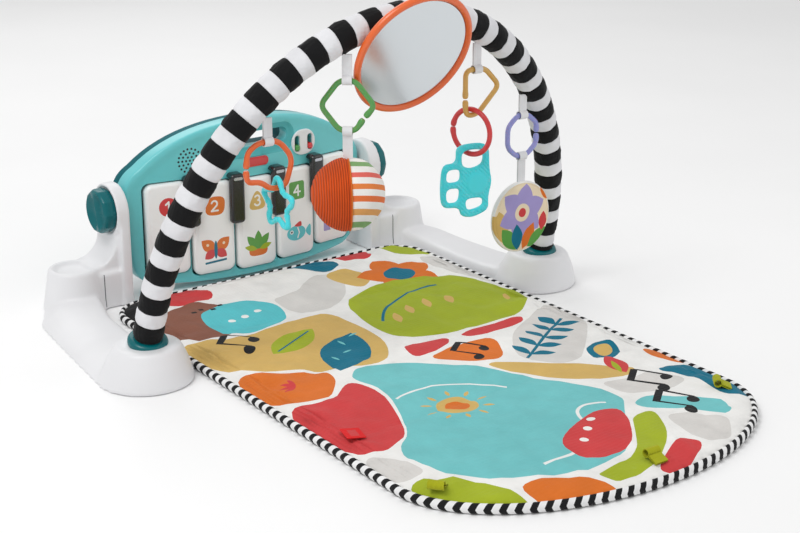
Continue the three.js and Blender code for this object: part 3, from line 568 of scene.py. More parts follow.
def note(x, y, size, turn, ink):
    """Two notes joined by a beam."""
    loops = [oval(-0.32, -0.42, 0.2, 0.14, 20), oval(0.32, -0.3, 0.2, 0.14, 20)]
    loops += [stroke([(-0.15, -0.4), (-0.15, 0.4)], 0.08), stroke([(0.49, -0.28), (0.49, 0.52)], 0.08)]
    loops.append(stroke([(-0.18, 0.38), (0.52, 0.5)], 0.17))
    return [(turned(*(size * np.array(loop)).T, x, y, turn), ink) for loop in loops]


# Each digit is one line through these points, about its middle, one unit tall.
DIGITS = {
    1: [(-0.22, 0.25), (0.05, 0.48), (0.05, -0.5)],
    2: oval(0, 0.2, 0.28, 0.28, 0, 9, 160, -200) + [(-0.3, -0.45), (0.34, -0.45)],
    3: oval(0, 0.24, 0.25, 0.23, 0, 9, 150, -225) + oval(0, -0.22, 0.29, 0.26, 0, 9, 65, -225),
    4: [(0.14, -0.5), (0.14, 0.46), (-0.34, -0.16), (0.38, -0.16)],
    5: [(0.28, 0.45), (-0.2, 0.45), (-0.24, 0.05)] + oval(0, -0.14, 0.3, 0.3, 0, 10, 110, -240),
}


def digit(number, x, y, size, ink):
    """A digit as bars with round joints."""
    line = [(x + size * a, y + size * b) for a, b in DIGITS[number]]
    bars = [stroke([p, q], 0.17 * size) for p, q in zip(line, line[1:])]
    joints = [oval(px, py, 0.085 * size, 0.085 * size, 0, 10) for px, py in line]
    return [(loop, ink) for loop in bars + joints]


# ---------------------------------------------------------------- floor bases
ARM = [
    # y, inner x, outer x, height
    (-30, 262, 352, 18), (10, 252, 358, 25), (70, 252, 351, 18), (130, 257, 344, 13.5),
    (190, 254, 337, 16), (240, 242, 330, 25), (285, 238, 306, 27), (305, 246, 284, 24),
]
ARM_SECTION = [
    # share of the arm's width, share of its height
    (0, 0), (0.01, 0.5), (0.04, 0.82), (0.1, 0.97), (0.2, 1.0), (0.4, 0.97), (0.55, 0.9), (0.68, 0.76),
    (0.8, 0.56), (0.9, 0.34), (0.97, 0.14), (1.0, 0.04), (1.0, 0), (0.5, 0),
]


def in_socket(side):
    """The arch's leaning frame at the top of one socket."""
    return Matrix.Translation((side * HALF_SPAN, 0, SOCKET_Z)) @ Matrix.Rotation(LEAN, 4, "X")


def fuse(name, solids, voxel, smooth):
    """One skin round overlapping solids."""
    bm = bmesh.new()
    for points, faces in solids:
        corners = [bm.verts.new(Vector(p) * MM) for p in points]
        for face in faces:
            bm.faces.new([corners[i] for i in face])
    bmesh.ops.recalc_face_normals(bm, faces=bm.faces)
    raw = bpy.data.meshes.new(name + "_raw")
    bm.to_mesh(raw)
    bm.free()
    rough = show(name + "_raw", raw)
    skin = rough.modifiers.new("skin", "REMESH")
    skin.mode, skin.voxel_size = "VOXEL", voxel * MM
    even = rough.modifiers.new("even", "SMOOTH")
    even.factor, even.iterations = 0.5, smooth
    mesh = evaluated(rough)
    bpy.data.objects.remove(rough)
    mesh.polygons.foreach_set("use_smooth", [True] * len(mesh.polygons))
    return show(name, mesh)


def socket_tower():
    """The flared foot under the arch."""
    tower, faces = lathe(
        [(0.3, 0), (56, 0), (57, 3), (53.5, 14), (48.5, 28), (44, 37), (41, 43), (38.5, 46.2), (35, 47.2),
         (0.3, 47.2)]
    )
    tower[:, 1] += 7 * (1 - tower[:, 2] / SOCKET_Z)
    return tower + [HALF_SPAN, 0, 0], faces


def socket_pad():
    """The leaning disc on top of the foot, square to the arch."""
    pad, faces = lathe([(0.3, -18), (30, -18), (28, -3), (26.5, -0.4), (0.3, -0.4)])
    return moved(pad, in_socket(1)), faces


def base_arm():
    """The low curved arm that joins the foot to the rear."""
    stations = np.array(ARM, float)
    width, height = np.array(ARM_SECTION, float).T
    rows = []
    for y in np.linspace(-10, ARM[-1][0], 48):
        inner, outer, top = (np.interp(y, stations[:, 0], stations[:, k]) for k in (1, 2, 3))
        rows.append(np.stack([inner + (outer - inner) * width, np.full(len(width), y), top * height], 1))
    return loft(rows)


def rear_cup():
    """The round cup behind, hollow on top."""
    cup, faces = lathe(
        [(0.3, 0), (43, 0), (43, 3), (40.5, 16), (37.5, 34), (35.2, 49), (34, 55), (31.5, 57.4), (28.5, 57.4),
         (26, 55), (22, 52.5), (14, 51), (0.3, 50.6)]
    )
    return cup + [261.5, 280, 0], faces


def pivot_post():
    """The block on the floor, the round head with its raised rim, and the web that joins them."""
    block = prism([(192, 0), (262, 0), (262, 50), (192, 50)], 250, 314, "y")
    head = [(247, 0), (319, 0)] + oval(PIVOT_Y, PIVOT_Z, HEAD_R, HEAD_R, 0, 30, 0, 180)
    rim, well = (oval(PIVOT_Y, PIVOT_Z, r, r, 0, 60) for r in (HEAD_R, 31.6))
    ring = [np.insert(loop, 0, x, axis=1) for x, loop in ((204, rim), (210, rim), (210, well), (204, well))]
    web = [(202, 45), (244, 45), (244, 56)] + oval(244, 91, 34, 35, 0, 12, 270, -90) + [(206, 96), (202, 96)]
    raised = np.concatenate(ring), grid_faces(4, 60, True)
    return [block, prism(head, 192, 206, "x"), raised, prism(web, 256, 314, "y")]


def drill_socket(shell, side):
    """The hole that the arch's spigot stands in."""
    points, faces = prism(oval(0, 0, SOCKET_R, SOCKET_R, 0, 48), -43, 12, "z")
    drill = turn_outward(build("drill", moved(points, in_socket(side)), faces, []))
    hole = shell.modifiers.new("socket", "BOOLEAN")
    hole.operation, hole.solver, hole.object = "DIFFERENCE", "MANIFOLD", drill
    mesh = evaluated(shell)
    shell.modifiers.clear()
    shell.data = mesh
    mesh.set_sharp_from_angle(angle=math.radians(50))
    bpy.data.objects.remove(drill)


def make_seam_shade(shell, side, name):
    """Painted shade of the groove up the front of the post: a thin dark grey tube laid on the shell's own
    surface.
    """
    points = [v.co / MM for v in shell.data.vertices]
    skin = BVHTree.FromPolygons(points, [tuple(p.vertices) for p in shell.data.polygons])
    seam_x, start_y, post_y = 232.8, 150, 262
    starts = [Vector((side * seam_x, start_y, z)) for z in np.linspace(4, 48, 23)]
    found = [skin.ray_cast(start, Vector((0, 1, 0)))[0] for start in starts]
    seam = np.array([point for point in found if point and point.y < post_y])
    # Painted shade: the grey tube stands for the shadow in the groove, not for a grey part.
    groove = tube(name + "_base_groove_shade", seam, 0.55, [GREY], 8, False, 1.0, (1, 0, 0))
    place(groove, "base", "grey_plastic")


def make_bases():
    right = [socket_tower(), socket_pad(), base_arm(), rear_cup(), *pivot_post()]
    for side, name in ((1, "right"), (-1, "left")):
        solids = [(points * [side, 1, 1], faces) for points, faces in right]
        shell = fuse(name + "_base", solids, 2.1, 9)
        shell.data.materials.append(WHITE)
        drill_socket(shell, side)
        place(shell, "base", "white_plastic", name + "_base_shell", name + "_base_cover")
        make_seam_shade(shell, side, name)
        make_knob(side, name)
        make_collar(side, name)


def make_knob(side, name):
    """Dished knob with a ridge across the dish to turn it by and scallops round its edge."""
    sides, rows = 144, []
    angle = np.arange(sides) * TAU / sides
    scallop = 1 - 0.035 * np.abs(np.sin(5 * angle)) ** 0.7
    wall = ((3, 206.6), (27, 206.6), (29.4, 208), (30, 210), (30, 219), (29.6, 222), (28.2, 224.4),
            (26, 225.3))
    for r, x in wall:
        rows.append((r * (scallop if r > 27.5 else np.ones(sides)), np.full(sides, float(x))))
    for r in (24, 22, 20, 17, 14, 11, 8, 5, 2.5, 0.4):
        dish = 225.0 - 6.5 * np.clip((25 - r) / 9, 0, 1) ** 0.8
        across = np.abs(r * np.cos(angle + 0.25))
        ridge = 6.2 * np.clip(1 - across / 6.5, 0, 1) ** 0.7 * np.clip((26 - r) / 6, 0, 1)
        rows.append((np.full(sides, float(r)), np.minimum(dish + ridge, 225.4)))
    points = [
        (side * x, PIVOT_Y + r * math.cos(a), PIVOT_Z + r * math.sin(a))
        for reach, height in rows for r, x, a in zip(reach, height, angle)
    ]
    faces = grid_faces(len(rows), sides) + end_caps(len(rows), sides)
    knob = solid(name + "_grip_knob", points, faces, DARK_TEAL)
    place(knob, "knob_" + name, "dark_teal_gloss", name + "_knob")


def make_collar(side, name):
    """Ring round the arch's foot, with the hollow spigot that stands in the socket."""
    points, faces = lathe(
        [(8.6, -41), (11.8, -41), (12.8, -39.6), (12.8, -1), (22.8, -1), (23.6, 0.4), (24, 1.8), (24, 5),
         (23.2, 6.8), (21.4, 8.6), (18.6, 9.2), (8.6, 9.2)], 96
    )
    collar = solid(name + "_foot_ring", moved(points, in_socket(side)), faces, DARK_TEAL, 45)
    place(collar, "arch", "dark_teal_gloss", name + "_collar")


# ---------------------------------------------------------------- arch sleeve
def tube_z(x):
    return SOCKET_Z + RISE * math.sqrt(1 - (x / HALF_SPAN) ** 2)


def tube_y(x):
    return -math.tan(LEAN) * (tube_z(x) - SOCKET_Z)


def arch_point(angle):
    z = SOCKET_Z + RISE * math.sin(angle)
    return -HALF_SPAN * math.cos(angle), -math.tan(LEAN) * (z - SOCKET_Z), z


def make_sleeve():
    """Quilted tube of sewn bands: each band swells between its seams and wrinkles where the tube bends."""
    fine = np.array([arch_point(a) for a in np.linspace(0, math.pi, 1500)])
    margin, seam_radius = 10.0, 16.9
    end = run_length(fine)[-1] - margin
    marks, black = [margin], []
    while marks[-1] < end - 1:
        black.append(len(black) % 2 == 0)
        marks.append(min(marks[-1] + (0.54 if black[-1] else 0.46) * BAND_PERIOD, end))
    stations, radii, which = [], [], []
    for a, b, dark in zip(marks, marks[1:], black):
        for t in (0.0, 0.05, 0.14, 0.3, 0.5, 0.7, 0.86, 0.95):
            stations.append(a + t * (b - a))
            radii.append(17.2 + 0.9 * math.sin(math.pi * t) ** 0.4 if t else seam_radius)
            which.append(int(dark))
    stations.append(end)
    radii.append(seam_radius)
    path, sides = at_lengths(fine, stations), 44
    across = (0, math.cos(LEAN), math.sin(LEAN))
    looks = [SLEEVE_WHITE, SLEEVE_BLACK]
    sleeve = tube("striped_sleeve", path, radii, looks, sides, False, 1.0, across, np.repeat(which, sides))
    wrinkle_sleeve(sleeve, path, stations, sides)
    place(sleeve, "arch", "striped_fabric", "arch_sleeve")


def wrinkle_sleeve(sleeve, path, stations, sides):
    """Long creases across the bands and finer folds between them."""
    for vertex in sleeve.data.vertices:
        ring, j = divmod(vertex.index, sides)
        out = (vertex.co - Vector(path[ring]) * MM).normalized()
        angle = j * TAU / sides
        crease = noise.noise(Vector((stations[ring] * 0.09, 2.2 * math.cos(angle), math.sin(angle) * 2.2)))
        fold = noise.noise(Vector((stations[ring] * 0.32, j * 0.33, 4.0)))
        vertex.co += out * (1.1 * crease + 0.6 * fold) * MM


# ---------------------------------------------------------------- straps and links
def sewn_loop(name, length, matrix, flip=False, width=11.5, eye=5.0, material=STRAP):
    """Folded strap: two layers that run down from the origin and open round a bar at its end."""
    half, outside, inner_side = 0.85, 0.62, 0.5
    turn, neck = math.asin(half / eye), -length + eye + 1.5
    path = [(half, z) for z in np.linspace(0, neck, 12)]
    path += [(eye * math.sin(a), -length + eye * math.cos(a)) for a in np.linspace(turn, TAU - turn, 26)]
    path += [(-half, z) for z in np.linspace(neck, 0, 12)]
    path = np.array(path)
    ahead = np.gradient(path, axis=0)
    ahead /= np.linalg.norm(ahead, axis=1)[:, None]
    out = np.stack([-ahead[:, 1], ahead[:, 0]], 1)
    columns = np.linspace(-width / 2, width / 2, 7)
    front, back = [], []
    for k, (p, n) in enumerate(zip(path, out)):
        stretch = 1 + 0.007 * math.sin(0.5 * k)
        front += [(c * stretch, *(p + n * (outside - 0.12 * (abs(c) > 5)))) for c in columns]
        back += [(c * stretch, *(p - n * inner_side)) for c in columns]
    n, w = len(path), len(columns)
    faces = grid_faces(n, w, False, False)
    faces += [tuple(i + n * w for i in f[::-1]) for f in faces]
    rim = [(i * w + j, (i + 1) * w + j) for i in range(n - 1) for j in (0, w - 1)]
    rim += [(i * w + j, i * w + j + 1) for i in (0, n - 1) for j in range(w - 1)]
    faces += [(a, b, b + n * w, a + n * w) for a, b in rim]
    points = np.array(front + back)
    if flip:
        points = points * [1, 1, -1] - [0, 0, length]
    return solid(name, moved(points, matrix), faces, material)


def rounded_path(corners, rounding):
    """Even steps along straight lines with rounded corners."""
    c = [Vector(p) for p in corners]
    points = [c[0]]
    for a, b, d in zip(c, c[1:], c[2:]):
        r = min(rounding, 0.48 * (b - a).length, 0.48 * (d - b).length)
        p, q = b + (a - b).normalized() * r, b + (d - b).normalized() * r
        points += [(1 - t) ** 2 * p + 2 * t * (1 - t) * b + t * t * q for t in np.linspace(0, 1, 9)]
    points.append(c[-1])
    line = np.array([tuple(p) for p in points])
    length = run_length(line)[-1]
    return at_lengths(line, np.linspace(0, length, int(length / BAR_STEP)))


def plastic_link(name, flat, matrix, material):
    """Open plastic link: a slightly flattened bar with a swelling near each end, where it snaps shut."""
    path = np.insert(flat, 1, 0.0, axis=1)
    beyond = 1.3 / BAR_STEP
    first, last = path[0] + beyond * (path[0] - path[1]), path[-1] + beyond * (path[-1] - path[-2])
    path = np.vstack([first, path, last])
    n = len(path)
    from_end = np.minimum(np.arange(n), np.arange(n)[::-1])
    radius = 3.3 + 0.6 * np.exp(-((from_end - 3.0) ** 2) / 6.0)
    radius[[0, -1]] = 2.6
    radius[[1, -2]] = 3.4
    link = tube(name, path, radius, [material], 18, False, 0.92, (0, 1, 0))
    carry(link, matrix)
    return link


# Each link's material, how far its corners are rounded, and its corners about its top as (x, z).
LINKS = {
    "orange": (ORANGE, 12, [(-29, -26), (-27, -9), (-13, 0), (14, 0), (33, -24), (22, -56), (2, -56),
                            (-10, -46), (-28, -44), (-29.5, -31)]),
    "green": (GREEN, 9, [(21.3, -41.3), (31.5, -29.5), (9, 0), (-9, 0), (-31.5, -29.5), (-9, -59), (9, -59),
                         (17.4, -46)]),
    "tan": (TAN, 9, [(-17, -33), (-17, 0), (12, 0), (35, -24), (2, -56), (-16, -56), (-17, -38)]),
    "lilac": (LILAC, 8, [(23.4, -24), (23.4, -13.4), (8, 0), (-8, 0), (-23.4, -13.4), (-23.4, -40),
                         (-8, -53.4), (8, -53.4), (23.4, -40), (23.4, -29)]),
}


def strap_top(x):
    """Height of the sleeve's underside over the whole width of a strap at x."""
    sleeve_r, half_width, gap = 18, 5.5, 1
    slope = RISE * abs(x) / HALF_SPAN**2 / math.sqrt(1 - (x / HALF_SPAN) ** 2)
    return tube_z(x) - sleeve_r * math.hypot(1, slope) / math.cos(LEAN) - half_width * slope - gap


def hang(name, x, forward, link_z, yaw, strap_node, color):
    """The strap under the sleeve with the link it carries."""
    material, rounding, corners = LINKS[color]
    y, top = tube_y(x) - forward, strap_top(x) + STRAP_INSET
    strap = sewn_loop(name + "_sewn_strap", top - link_z, spot(x, y, top, yaw))
    place(strap, name + "_hanger", "strap_fabric", strap_node)
    path = rounded_path(corners, rounding)
    link = plastic_link(name + "_snap_link", path, spot(x, y, link_z, yaw), material)
    place(link, name + "_hanger", color + "_plastic", color + "_link")
    return y


# ---------------------------------------------------------------- hanging toys
def make_star():
    """Five-pointed ring with ripples to chew on."""
    link_z = 290
    y = hang("star", -179, 0, link_z, 0, "star_strap", "orange")
    loop, steps = [], 120
    for a in np.arange(steps) * TAU / steps:
        r = 23.6 + 5.6 * math.cos(5 * a) + 0.9 * math.cos(10 * a)
        loop.append((-r * math.sin(a), 0.0, r * math.cos(a) - 30))
    ripple = [3.35 + 0.35 * math.sin(i * TAU / 6) for i in range(steps)]
    star = tube("star_teething_ring", loop, ripple, [AQUA], 16, True, 0.95, (0, 1, 0))
    carry(star, spot(-167, y, link_z - 45.2, -88))
    place(star, "star", "aqua_rubber", "star_teether")


def ball_half(side):
    """Points and faces of half a stuffed ball, and the value that its cloth is drawn from."""
    rows, columns = 90, 96
    points, around = [], []
    for latitude in np.linspace(0, math.pi / 2, rows):
        r = BALL_R * (1 - 0.035 * math.exp(-((math.pi / 2 - latitude) / 0.07) ** 2))
        for a in np.arange(columns) * TAU / columns:
            ring = r * math.sin(latitude)
            p = (side * r * math.cos(latitude), ring * math.cos(a), ring * math.sin(a))
            if side < 0:
                rib = abs(math.sin(p[0] * CORD_PITCH))
                p = tuple(c * (1 + 0.012 * rib) for c in p)
            puff = 1 + 0.02 * noise.noise(Vector(p) * 0.05)
            points.append(tuple(c * puff for c in p))
            around.append(p[0] * CORD_PITCH if side < 0 else (0.87 * p[2] + 0.35 * p[1] + 45) / 90)
    return points, grid_faces(rows, columns) + end_caps(rows, columns)[1:], around


def make_ball():
    x, link_z, drop, neck, yaw = -87, 353, 59, 32, -40
    y = hang("ball", x, 9, link_z, yaw, "ball_top_strap", "green")
    low = link_z - drop
    strap = sewn_loop("ball_hanging_strap", neck + 3, spot(x, y, low, yaw), True)
    place(strap, "ball", "strap_fabric", "ball_strap")
    centre = spot(x, y, low - neck - 43.4, -28)
    for side, name, node, material, slot in (
        (-1, "ball_ribbed_half", "ball_cord_half", CORDUROY, "orange_corduroy"),
        (1, "ball_striped_half", "ball_stripe_half", JERSEY, "striped_jersey"),
    ):
        points, faces, around = ball_half(side)
        half = solid(name, moved(points, centre), faces, material, 60)
        attribute(half, "around", around)
        place(half, "ball", slot, node)
    seam = [(0.0, 42.6 * math.cos(t), 42.6 * math.sin(t)) for t in np.arange(120) * TAU / 120]
    axle = centre.to_3x3() @ Vector((1, 0, 0))
    piping = tube("ball_seam", moved(seam, centre), 0.9, [CLOTH_PRINT["orange"]], 8, True, 1.0, axle)
    place(piping, "ball", "orange_corduroy")


def make_teether():
    """Flat ridged teether with four holes, on its red ring."""
    x, link_z, drop = 110, 339.7, 56
    y = hang("teether", x, 0, link_z, 0, "teether_strap", "tan")
    ring_top, ring_r, half_gap = link_z - drop + 7.2, 28, 0.07
    angle = math.pi * 0.97 + half_gap + np.linspace(0, 1, 110) * (TAU - 2 * half_gap)
    ring = np.stack([ring_r * np.cos(angle), ring_r * np.sin(angle)], 1)
    link = plastic_link("ring_snap_link", ring, spot(x - 7, y, ring_top - ring_r, -75), RED)
    place(link, "ring", "red_plastic", "red_link")
    outline = blob((-12, 47), (-11, 24), (-30, 24), (-33, -4), (-31, -32), (-7, -33), (-4, -45), (12, -48),
                   (34, -40), (33, -22), (38, -4), (34, 14), (33, 47), soft=0.42)
    holes = [
        blob((-4, 39), (-4, 20), (8, 15), (25, 20), (25, 39)), blob((-24, 16), (-25, 0), (-6, 0), (-6, 16)),
        blob((-25, -8), (-24, -26), (-8, -26), (-6, -8)), blob((1, -23), (4, -39), (26, -34), (25, -23)),
    ]
    centre = spot(x - 7, y, ring_top - 89.65, -12)

    def put(u, v, h):
        return moved(np.stack([u - 9, -h, v], 1), centre)

    def front(flat, d):
        heart = np.linalg.norm(flat - [16, -4], axis=1)
        ridges = 0.55 * np.sin((flat[:, 0] + flat[:, 1]) * 1.15)
        ridges *= np.clip((heart - 13) / 3, 0, 1) * np.clip(d / 1.5, 0, 1)
        return rounded(3.4, 3.6)(flat, d) + ridges + 1.2 * np.clip((15 - heart) / 3, 0, 1)

    toy = pillow("loop_teething_toy", outline, put, front, lambda flat, d: -front(flat, d), AQUA, holes,
                 spacing=1.4, rings=(0.3, 0.9, 1.8, 2.8))
    place(toy, "teether", "aqua_rubber", "loop_teether")


def disc_print():
    """A flower over leaves on a cream ground, as (outline, cloth)."""
    leaves = [
        (-30, -30, 44, 24, 100, "tan"), (-34, 4, 34, 20, 200, "tan"), (30, 34, 30, 18, 330, "orange"),
        *[(0, 6, 38, 27, a, "lilac") for a in range(18, 378, 60)],
    ]
    grass = [(-8, -43, 40, 20, 128, "green"), (-6, -44, 36, 18, 95, "petrol"), (2, -44, 38, 18, 62, "orange"),
             (10, -42, 40, 20, 32, "green"), (34, -24, 26, 14, 84, "coral")]
    shapes = [(oval(0, 0, 45, 45, 0, 72), "cream")] + [(leaf(*spec), color) for *spec, color in leaves]
    shapes += [(oval(0, 6, 12, 12), "cream"), (oval(0, 6, 6, 6), "coral")]
    shapes += [(leaf(*spec), color) for *spec, color in grass]
    return [(loop, CLOTH_PRINT[color]) for loop, color in shapes]


def make_disc():
    """Printed cushion with a stitched edge."""
    x, link_z, drop, neck = 200, 266.7, 53.4, 34.5
    y = hang("disc", x, 0, link_z, 0, "disc_top_strap", "lilac")
    low = link_z - drop
    strap = sewn_loop("disc_hanging_strap", neck + 3, spot(x, y, low), True)
    place(strap, "disc", "strap_fabric")
    centre = spot(x, y, low - neck - 46)

    def put(u, v, h):
        return moved(np.stack([u, -h, v], 1), centre)

    def front(flat, d):
        stitch = 0.7 * np.exp(-(((d - 4) / 0.9) ** 2))
        puff = 1.2 * np.clip(d / 30, 0, 1) + 0.35 * np.sin(flat[:, 0] * 0.3 + 1) * np.cos(flat[:, 1] * 0.26)
        return rounded(2.6, 3.4)(flat, d) - stitch + puff * np.clip(d / 8, 0, 1)

    disc = pillow("printed_soft_disc", oval(0, 0, 47, 47, 0, 90), put, front, lambda flat, d: -front(flat, d),
                  CLOTH_PRINT["white"], (), disc_print(), 2.6, (0.4, 1.1, 2.2, 3.2, 4.0, 4.8))
    place(disc, "disc", "printed_felt", "print_disc")


def make_mirror():
    """The mirror's rim and film, and the band that holds it round the sleeve."""
    reach, tilt, sides = 22.3, math.atan2(0.412, 0.911), 72
    pin = Matrix.Translation((0, tube_y(0) - reach * math.cos(tilt), tube_z(0) - reach * math.sin(tilt)))
    hanger = pin @ Matrix.Rotation(tilt, 4, "X")
    face = hanger @ Matrix.Translation((0, -2.7, -33)) @ Matrix.Rotation(math.pi / 2, 4, "X")
    rim, faces = lathe(
        [(0.3, 0), (76, 0), (78.6, 0.6), (80, 2.2), (80.4, 4.5), (80, 6.8), (78.6, 8.6), (76.5, 9.2),
         (74.4, 8.8), (73, 7.4), (72.4, 5.6), (72.2, 3), (0.3, 3)], 160
    )
    made = solid("mirror_round_rim", moved(rim, face), faces, ORANGE, 40)
    place(made, "mirror", "orange_plastic", "mirror_frame")
    glass, faces = lathe([(0.3, 3.3), (71.6, 3.3), (72, 4.2), (71.4, 5.2), (0.3, 5.2)], 160)
    made = solid("mirror_film_disc", moved(glass, face), faces, MIRROR, 40)
    place(made, "mirror", "mirror_film", "mirror_plate")
    section = ((-8, 18.4), (-8, 19.6), (-4, 20.0), (0, 20.1), (4, 20.0), (8, 19.6), (8, 18.4))
    angles = np.arange(sides) * TAU / sides
    band = [(w, reach + r * math.cos(t), r * math.sin(t)) for w, r in section for t in angles]
    made = solid("mirror_hanging_band", moved(band, hanger), grid_faces(len(section), sides, True), STRAP)
    place(made, "arch", "strap_fabric", "mirror_strap")


# ---------------------------------------------------------------- piano
def on_panel(u, v, h):
    """Points at x = u and z = v, h in front of the piano's curved face."""
    return np.stack([u, CENTRE_Y - np.sqrt((FACE_R + h) ** 2 - u**2), v], 1)


def key_lift(middle):
    """The keys stand along a shallow curve, higher to the sides."""
    return 24 * (middle / 200) ** 2


def beside(middle, base):
    """Places (u, v, height) on the curved face about a key's middle line."""

    def put(u, v, h):
        a, reach = (middle + u) / FACE_R, FACE_R + h
        return np.stack([reach * np.sin(a), CENTRE_Y - reach * np.cos(a), v + base + key_lift(middle)], 1)

    return put


def panel_outline():
    """The piano's outline: a low straight edge, shoulders and a wide arch."""
    w, top, bottom = 188, 228, 4.5
    right = [((85, bottom), (148, bottom + 9)), ((w - 12, bottom + 14), (w - 9, bottom + 42)),
             ((w - 4, 92), (w, 138)), ((w, 162), (w - 22, top - 52)), ((110, top), (0, top))]
    half = curve((0, bottom), *right)
    return half + [(-x, z) for x, z in half[:0:-1]]


HANDLE = box_loop(-57, 57, 186, 206, 9.8, 8)


def make_panel():
    """The face with its key slots, handle, speaker holes painted as black spots of painted shade, and blank
    label.
    """
    outline, holes = panel_outline(), [HANDLE]
    for i in range(5):
        x = (i - 2) * KEY_PITCH
        z = KEY_Z + key_lift(x)
        holes.append([(x + u, z + v) for u, v in box_loop(-32.4, 32.4, -65.6, 65.6, 10)])
    holes += [box_loop(x - 4, x + 4, 168, 190, 3.9, 5) for x, *_ in SWITCHES]
    # Painted shade: the speaker's holes are not cut; black spots on the face stand for the shade inside them.
    speaker_hole_shade = [(SPEAKER_X, SPEAKER_Z)]
    for ring, count in ((5.4, 6), (10.8, 12), (16.2, 18)):
        for a in np.arange(count) * TAU / count:
            speaker_hole_shade.append((SPEAKER_X + ring * math.cos(a), SPEAKER_Z + ring * math.sin(a)))
    # Painted shade: the hollow ledge round the handle is coloured a darker teal.
    ledge = box_loop(-68, 68, 172, 214, 19, 8)
    shapes = [(ledge, TEAL_RECESS_SHADE)] + [(oval(x, z, HOLE_SHADE_R, HOLE_SHADE_R, 0, 12), INK["black"]) for x, z in speaker_hole_shade]

    def front(flat, d):
        edge = edge_distance(flat, [outline])
        hollow = edge_distance(flat, [ledge]) * inside(flat, ledge)
        step = 1.3 * np.clip((edge - 9) / 1.5, 0, 1)
        dip = 2.6 * np.clip(hollow / 6, 0, 1) ** 0.7
        return rounded(5.0)(flat, edge) - step - dip - np.clip(0.8 - d, 0, 0.8)

    panel = pillow("piano_face_shell", outline, on_panel, front, level(-22), TEAL, holes, shapes, 6.0,
                   (0.4, 0.9, 1.7), 35)
    place(panel, "piano", "teal_plastic", "piano_front")
    badge = box_loop(-14, 24, 158, 171, 6)
    face = [(box_loop(-11, 21, 161, 168, 3), INK["coral"])]
    label = pillow("blank_badge", badge, on_panel, rounded(0.6, -0.3), level(-2), INK["red"], (), face, 4,
                   (0.3, 0.7))
    place(label, "piano", "red_plastic")


def make_back():
    """The rear shell and its battery door."""
    outline, depth = offset(panel_outline(), 1.0), -42.0
    door_hole = box_loop(-52, 52, 62, 128, 6)

    def behind(flat, d):
        frame_round_door = 1.2 * np.clip(1 - edge_distance(flat, [door_hole]) / 6, 0, 1)
        return depth - rounded(7.0)(flat, edge_distance(flat, [outline])) - frame_round_door

    holes = [HANDLE, door_hole]
    shell = pillow("piano_rear_shell", outline, on_panel, level(-22.3), behind, BACK_TEAL, holes, (), 7.0,
                   (0.5, 1.3, 2.6), 35)
    place(shell, "piano", "dark_teal_gloss", "piano_back")

    def ribbed(flat, d):
        grip = (np.sin(flat[:, 0] * 0.9) > 0.3) * (np.abs(flat[:, 1] - 95) > 20) * (d > 5)
        return depth + 0.7 * grip

    door = pillow("battery_cover", box_loop(-51.5, 51.5, 62.5, 127.5, 5.6), on_panel, level(-39.4), ribbed,
                  BACK_TEAL, [oval(44, 95, 2.8, 2.8, 0, 16)], (), 2.4)
    place(door, "door", "dark_teal_gloss", "battery_door")


def key_print(i):
    """Number badge and picture of each white key, about the key's middle, as (outline, ink)."""
    badges = [
        (oval(0, 32, 13, 13), "red"), (blob((-15, 20), (14, 18), (17, 44), (-10, 46)), "orange"),
        (blob((-17, 19), (17, 19), (0, 52)), "tan"), (box_loop(-13, 13, 19, 45, 4), "green"),
        (oval(0, 32, 14, 12, 20), "lilac"),
    ]
    flower = [(leaf(0, -30, 19, 12, a), "tan") for a in range(0, 360, 60)] + [(oval(0, -30, 7, 7), "coral")]
    butterfly = [
        (leaf(0, -32, 27, 17, 140), "orange"), (leaf(0, -32, 27, 17, 40), "orange"),
        (leaf(0, -30, 20, 13, 215), "coral"), (leaf(0, -30, 20, 13, 325), "coral"),
        (oval(0, -30, 2.6, 13), "petrol"), (oval(-12, -22, 2, 2), "cream"), (oval(12, -22, 2, 2), "cream"),
        (stroke([(-16, -48), (16, -46)], 3), "petrol"),
    ]
    plant = [(blob((-13, -48), (13, -48), (16, -36), (-16, -36)), "orange")]
    plant += [(leaf(0, -38, 27, 12, a), "green") for a in (50, 90, 130)]
    plant += [(leaf(-2, -38, 20, 8, 165), "lime"), (leaf(2, -38, 20, 8, 15), "lime")]
    fish = [
        (oval(-2, -30, 16, 11), "aqua"), (blob((12, -30), (24, -18), (24, -42)), "aqua"),
        (blob((-8, -20), (6, -12), (8, -22)), "coral"), (oval(-10, -28, 3, 3), "white"),
        (oval(-10, -28, 1.5, 1.5), "black"), (stroke([(0, -38), (3, -30), (0, -22)], 2), "white"),
    ]
    house = [
        (box_loop(-18, 18, -46, -28, 2), "lilac"), (blob((-24, -30), (24, -30), (0, -6), soft=0.15), "red"),
        (box_loop(-6, 6, -46, -34, 2), "white"), (oval(0, -22, 4, 4), "white"),
    ]
    picture = (flower, butterfly, plant, fish, house)[i]
    number = digit(i + 1, 0, 32, 15, "white")
    return [(loop, INK[color]) for loop, color in [badges[i], *number, *picture]]


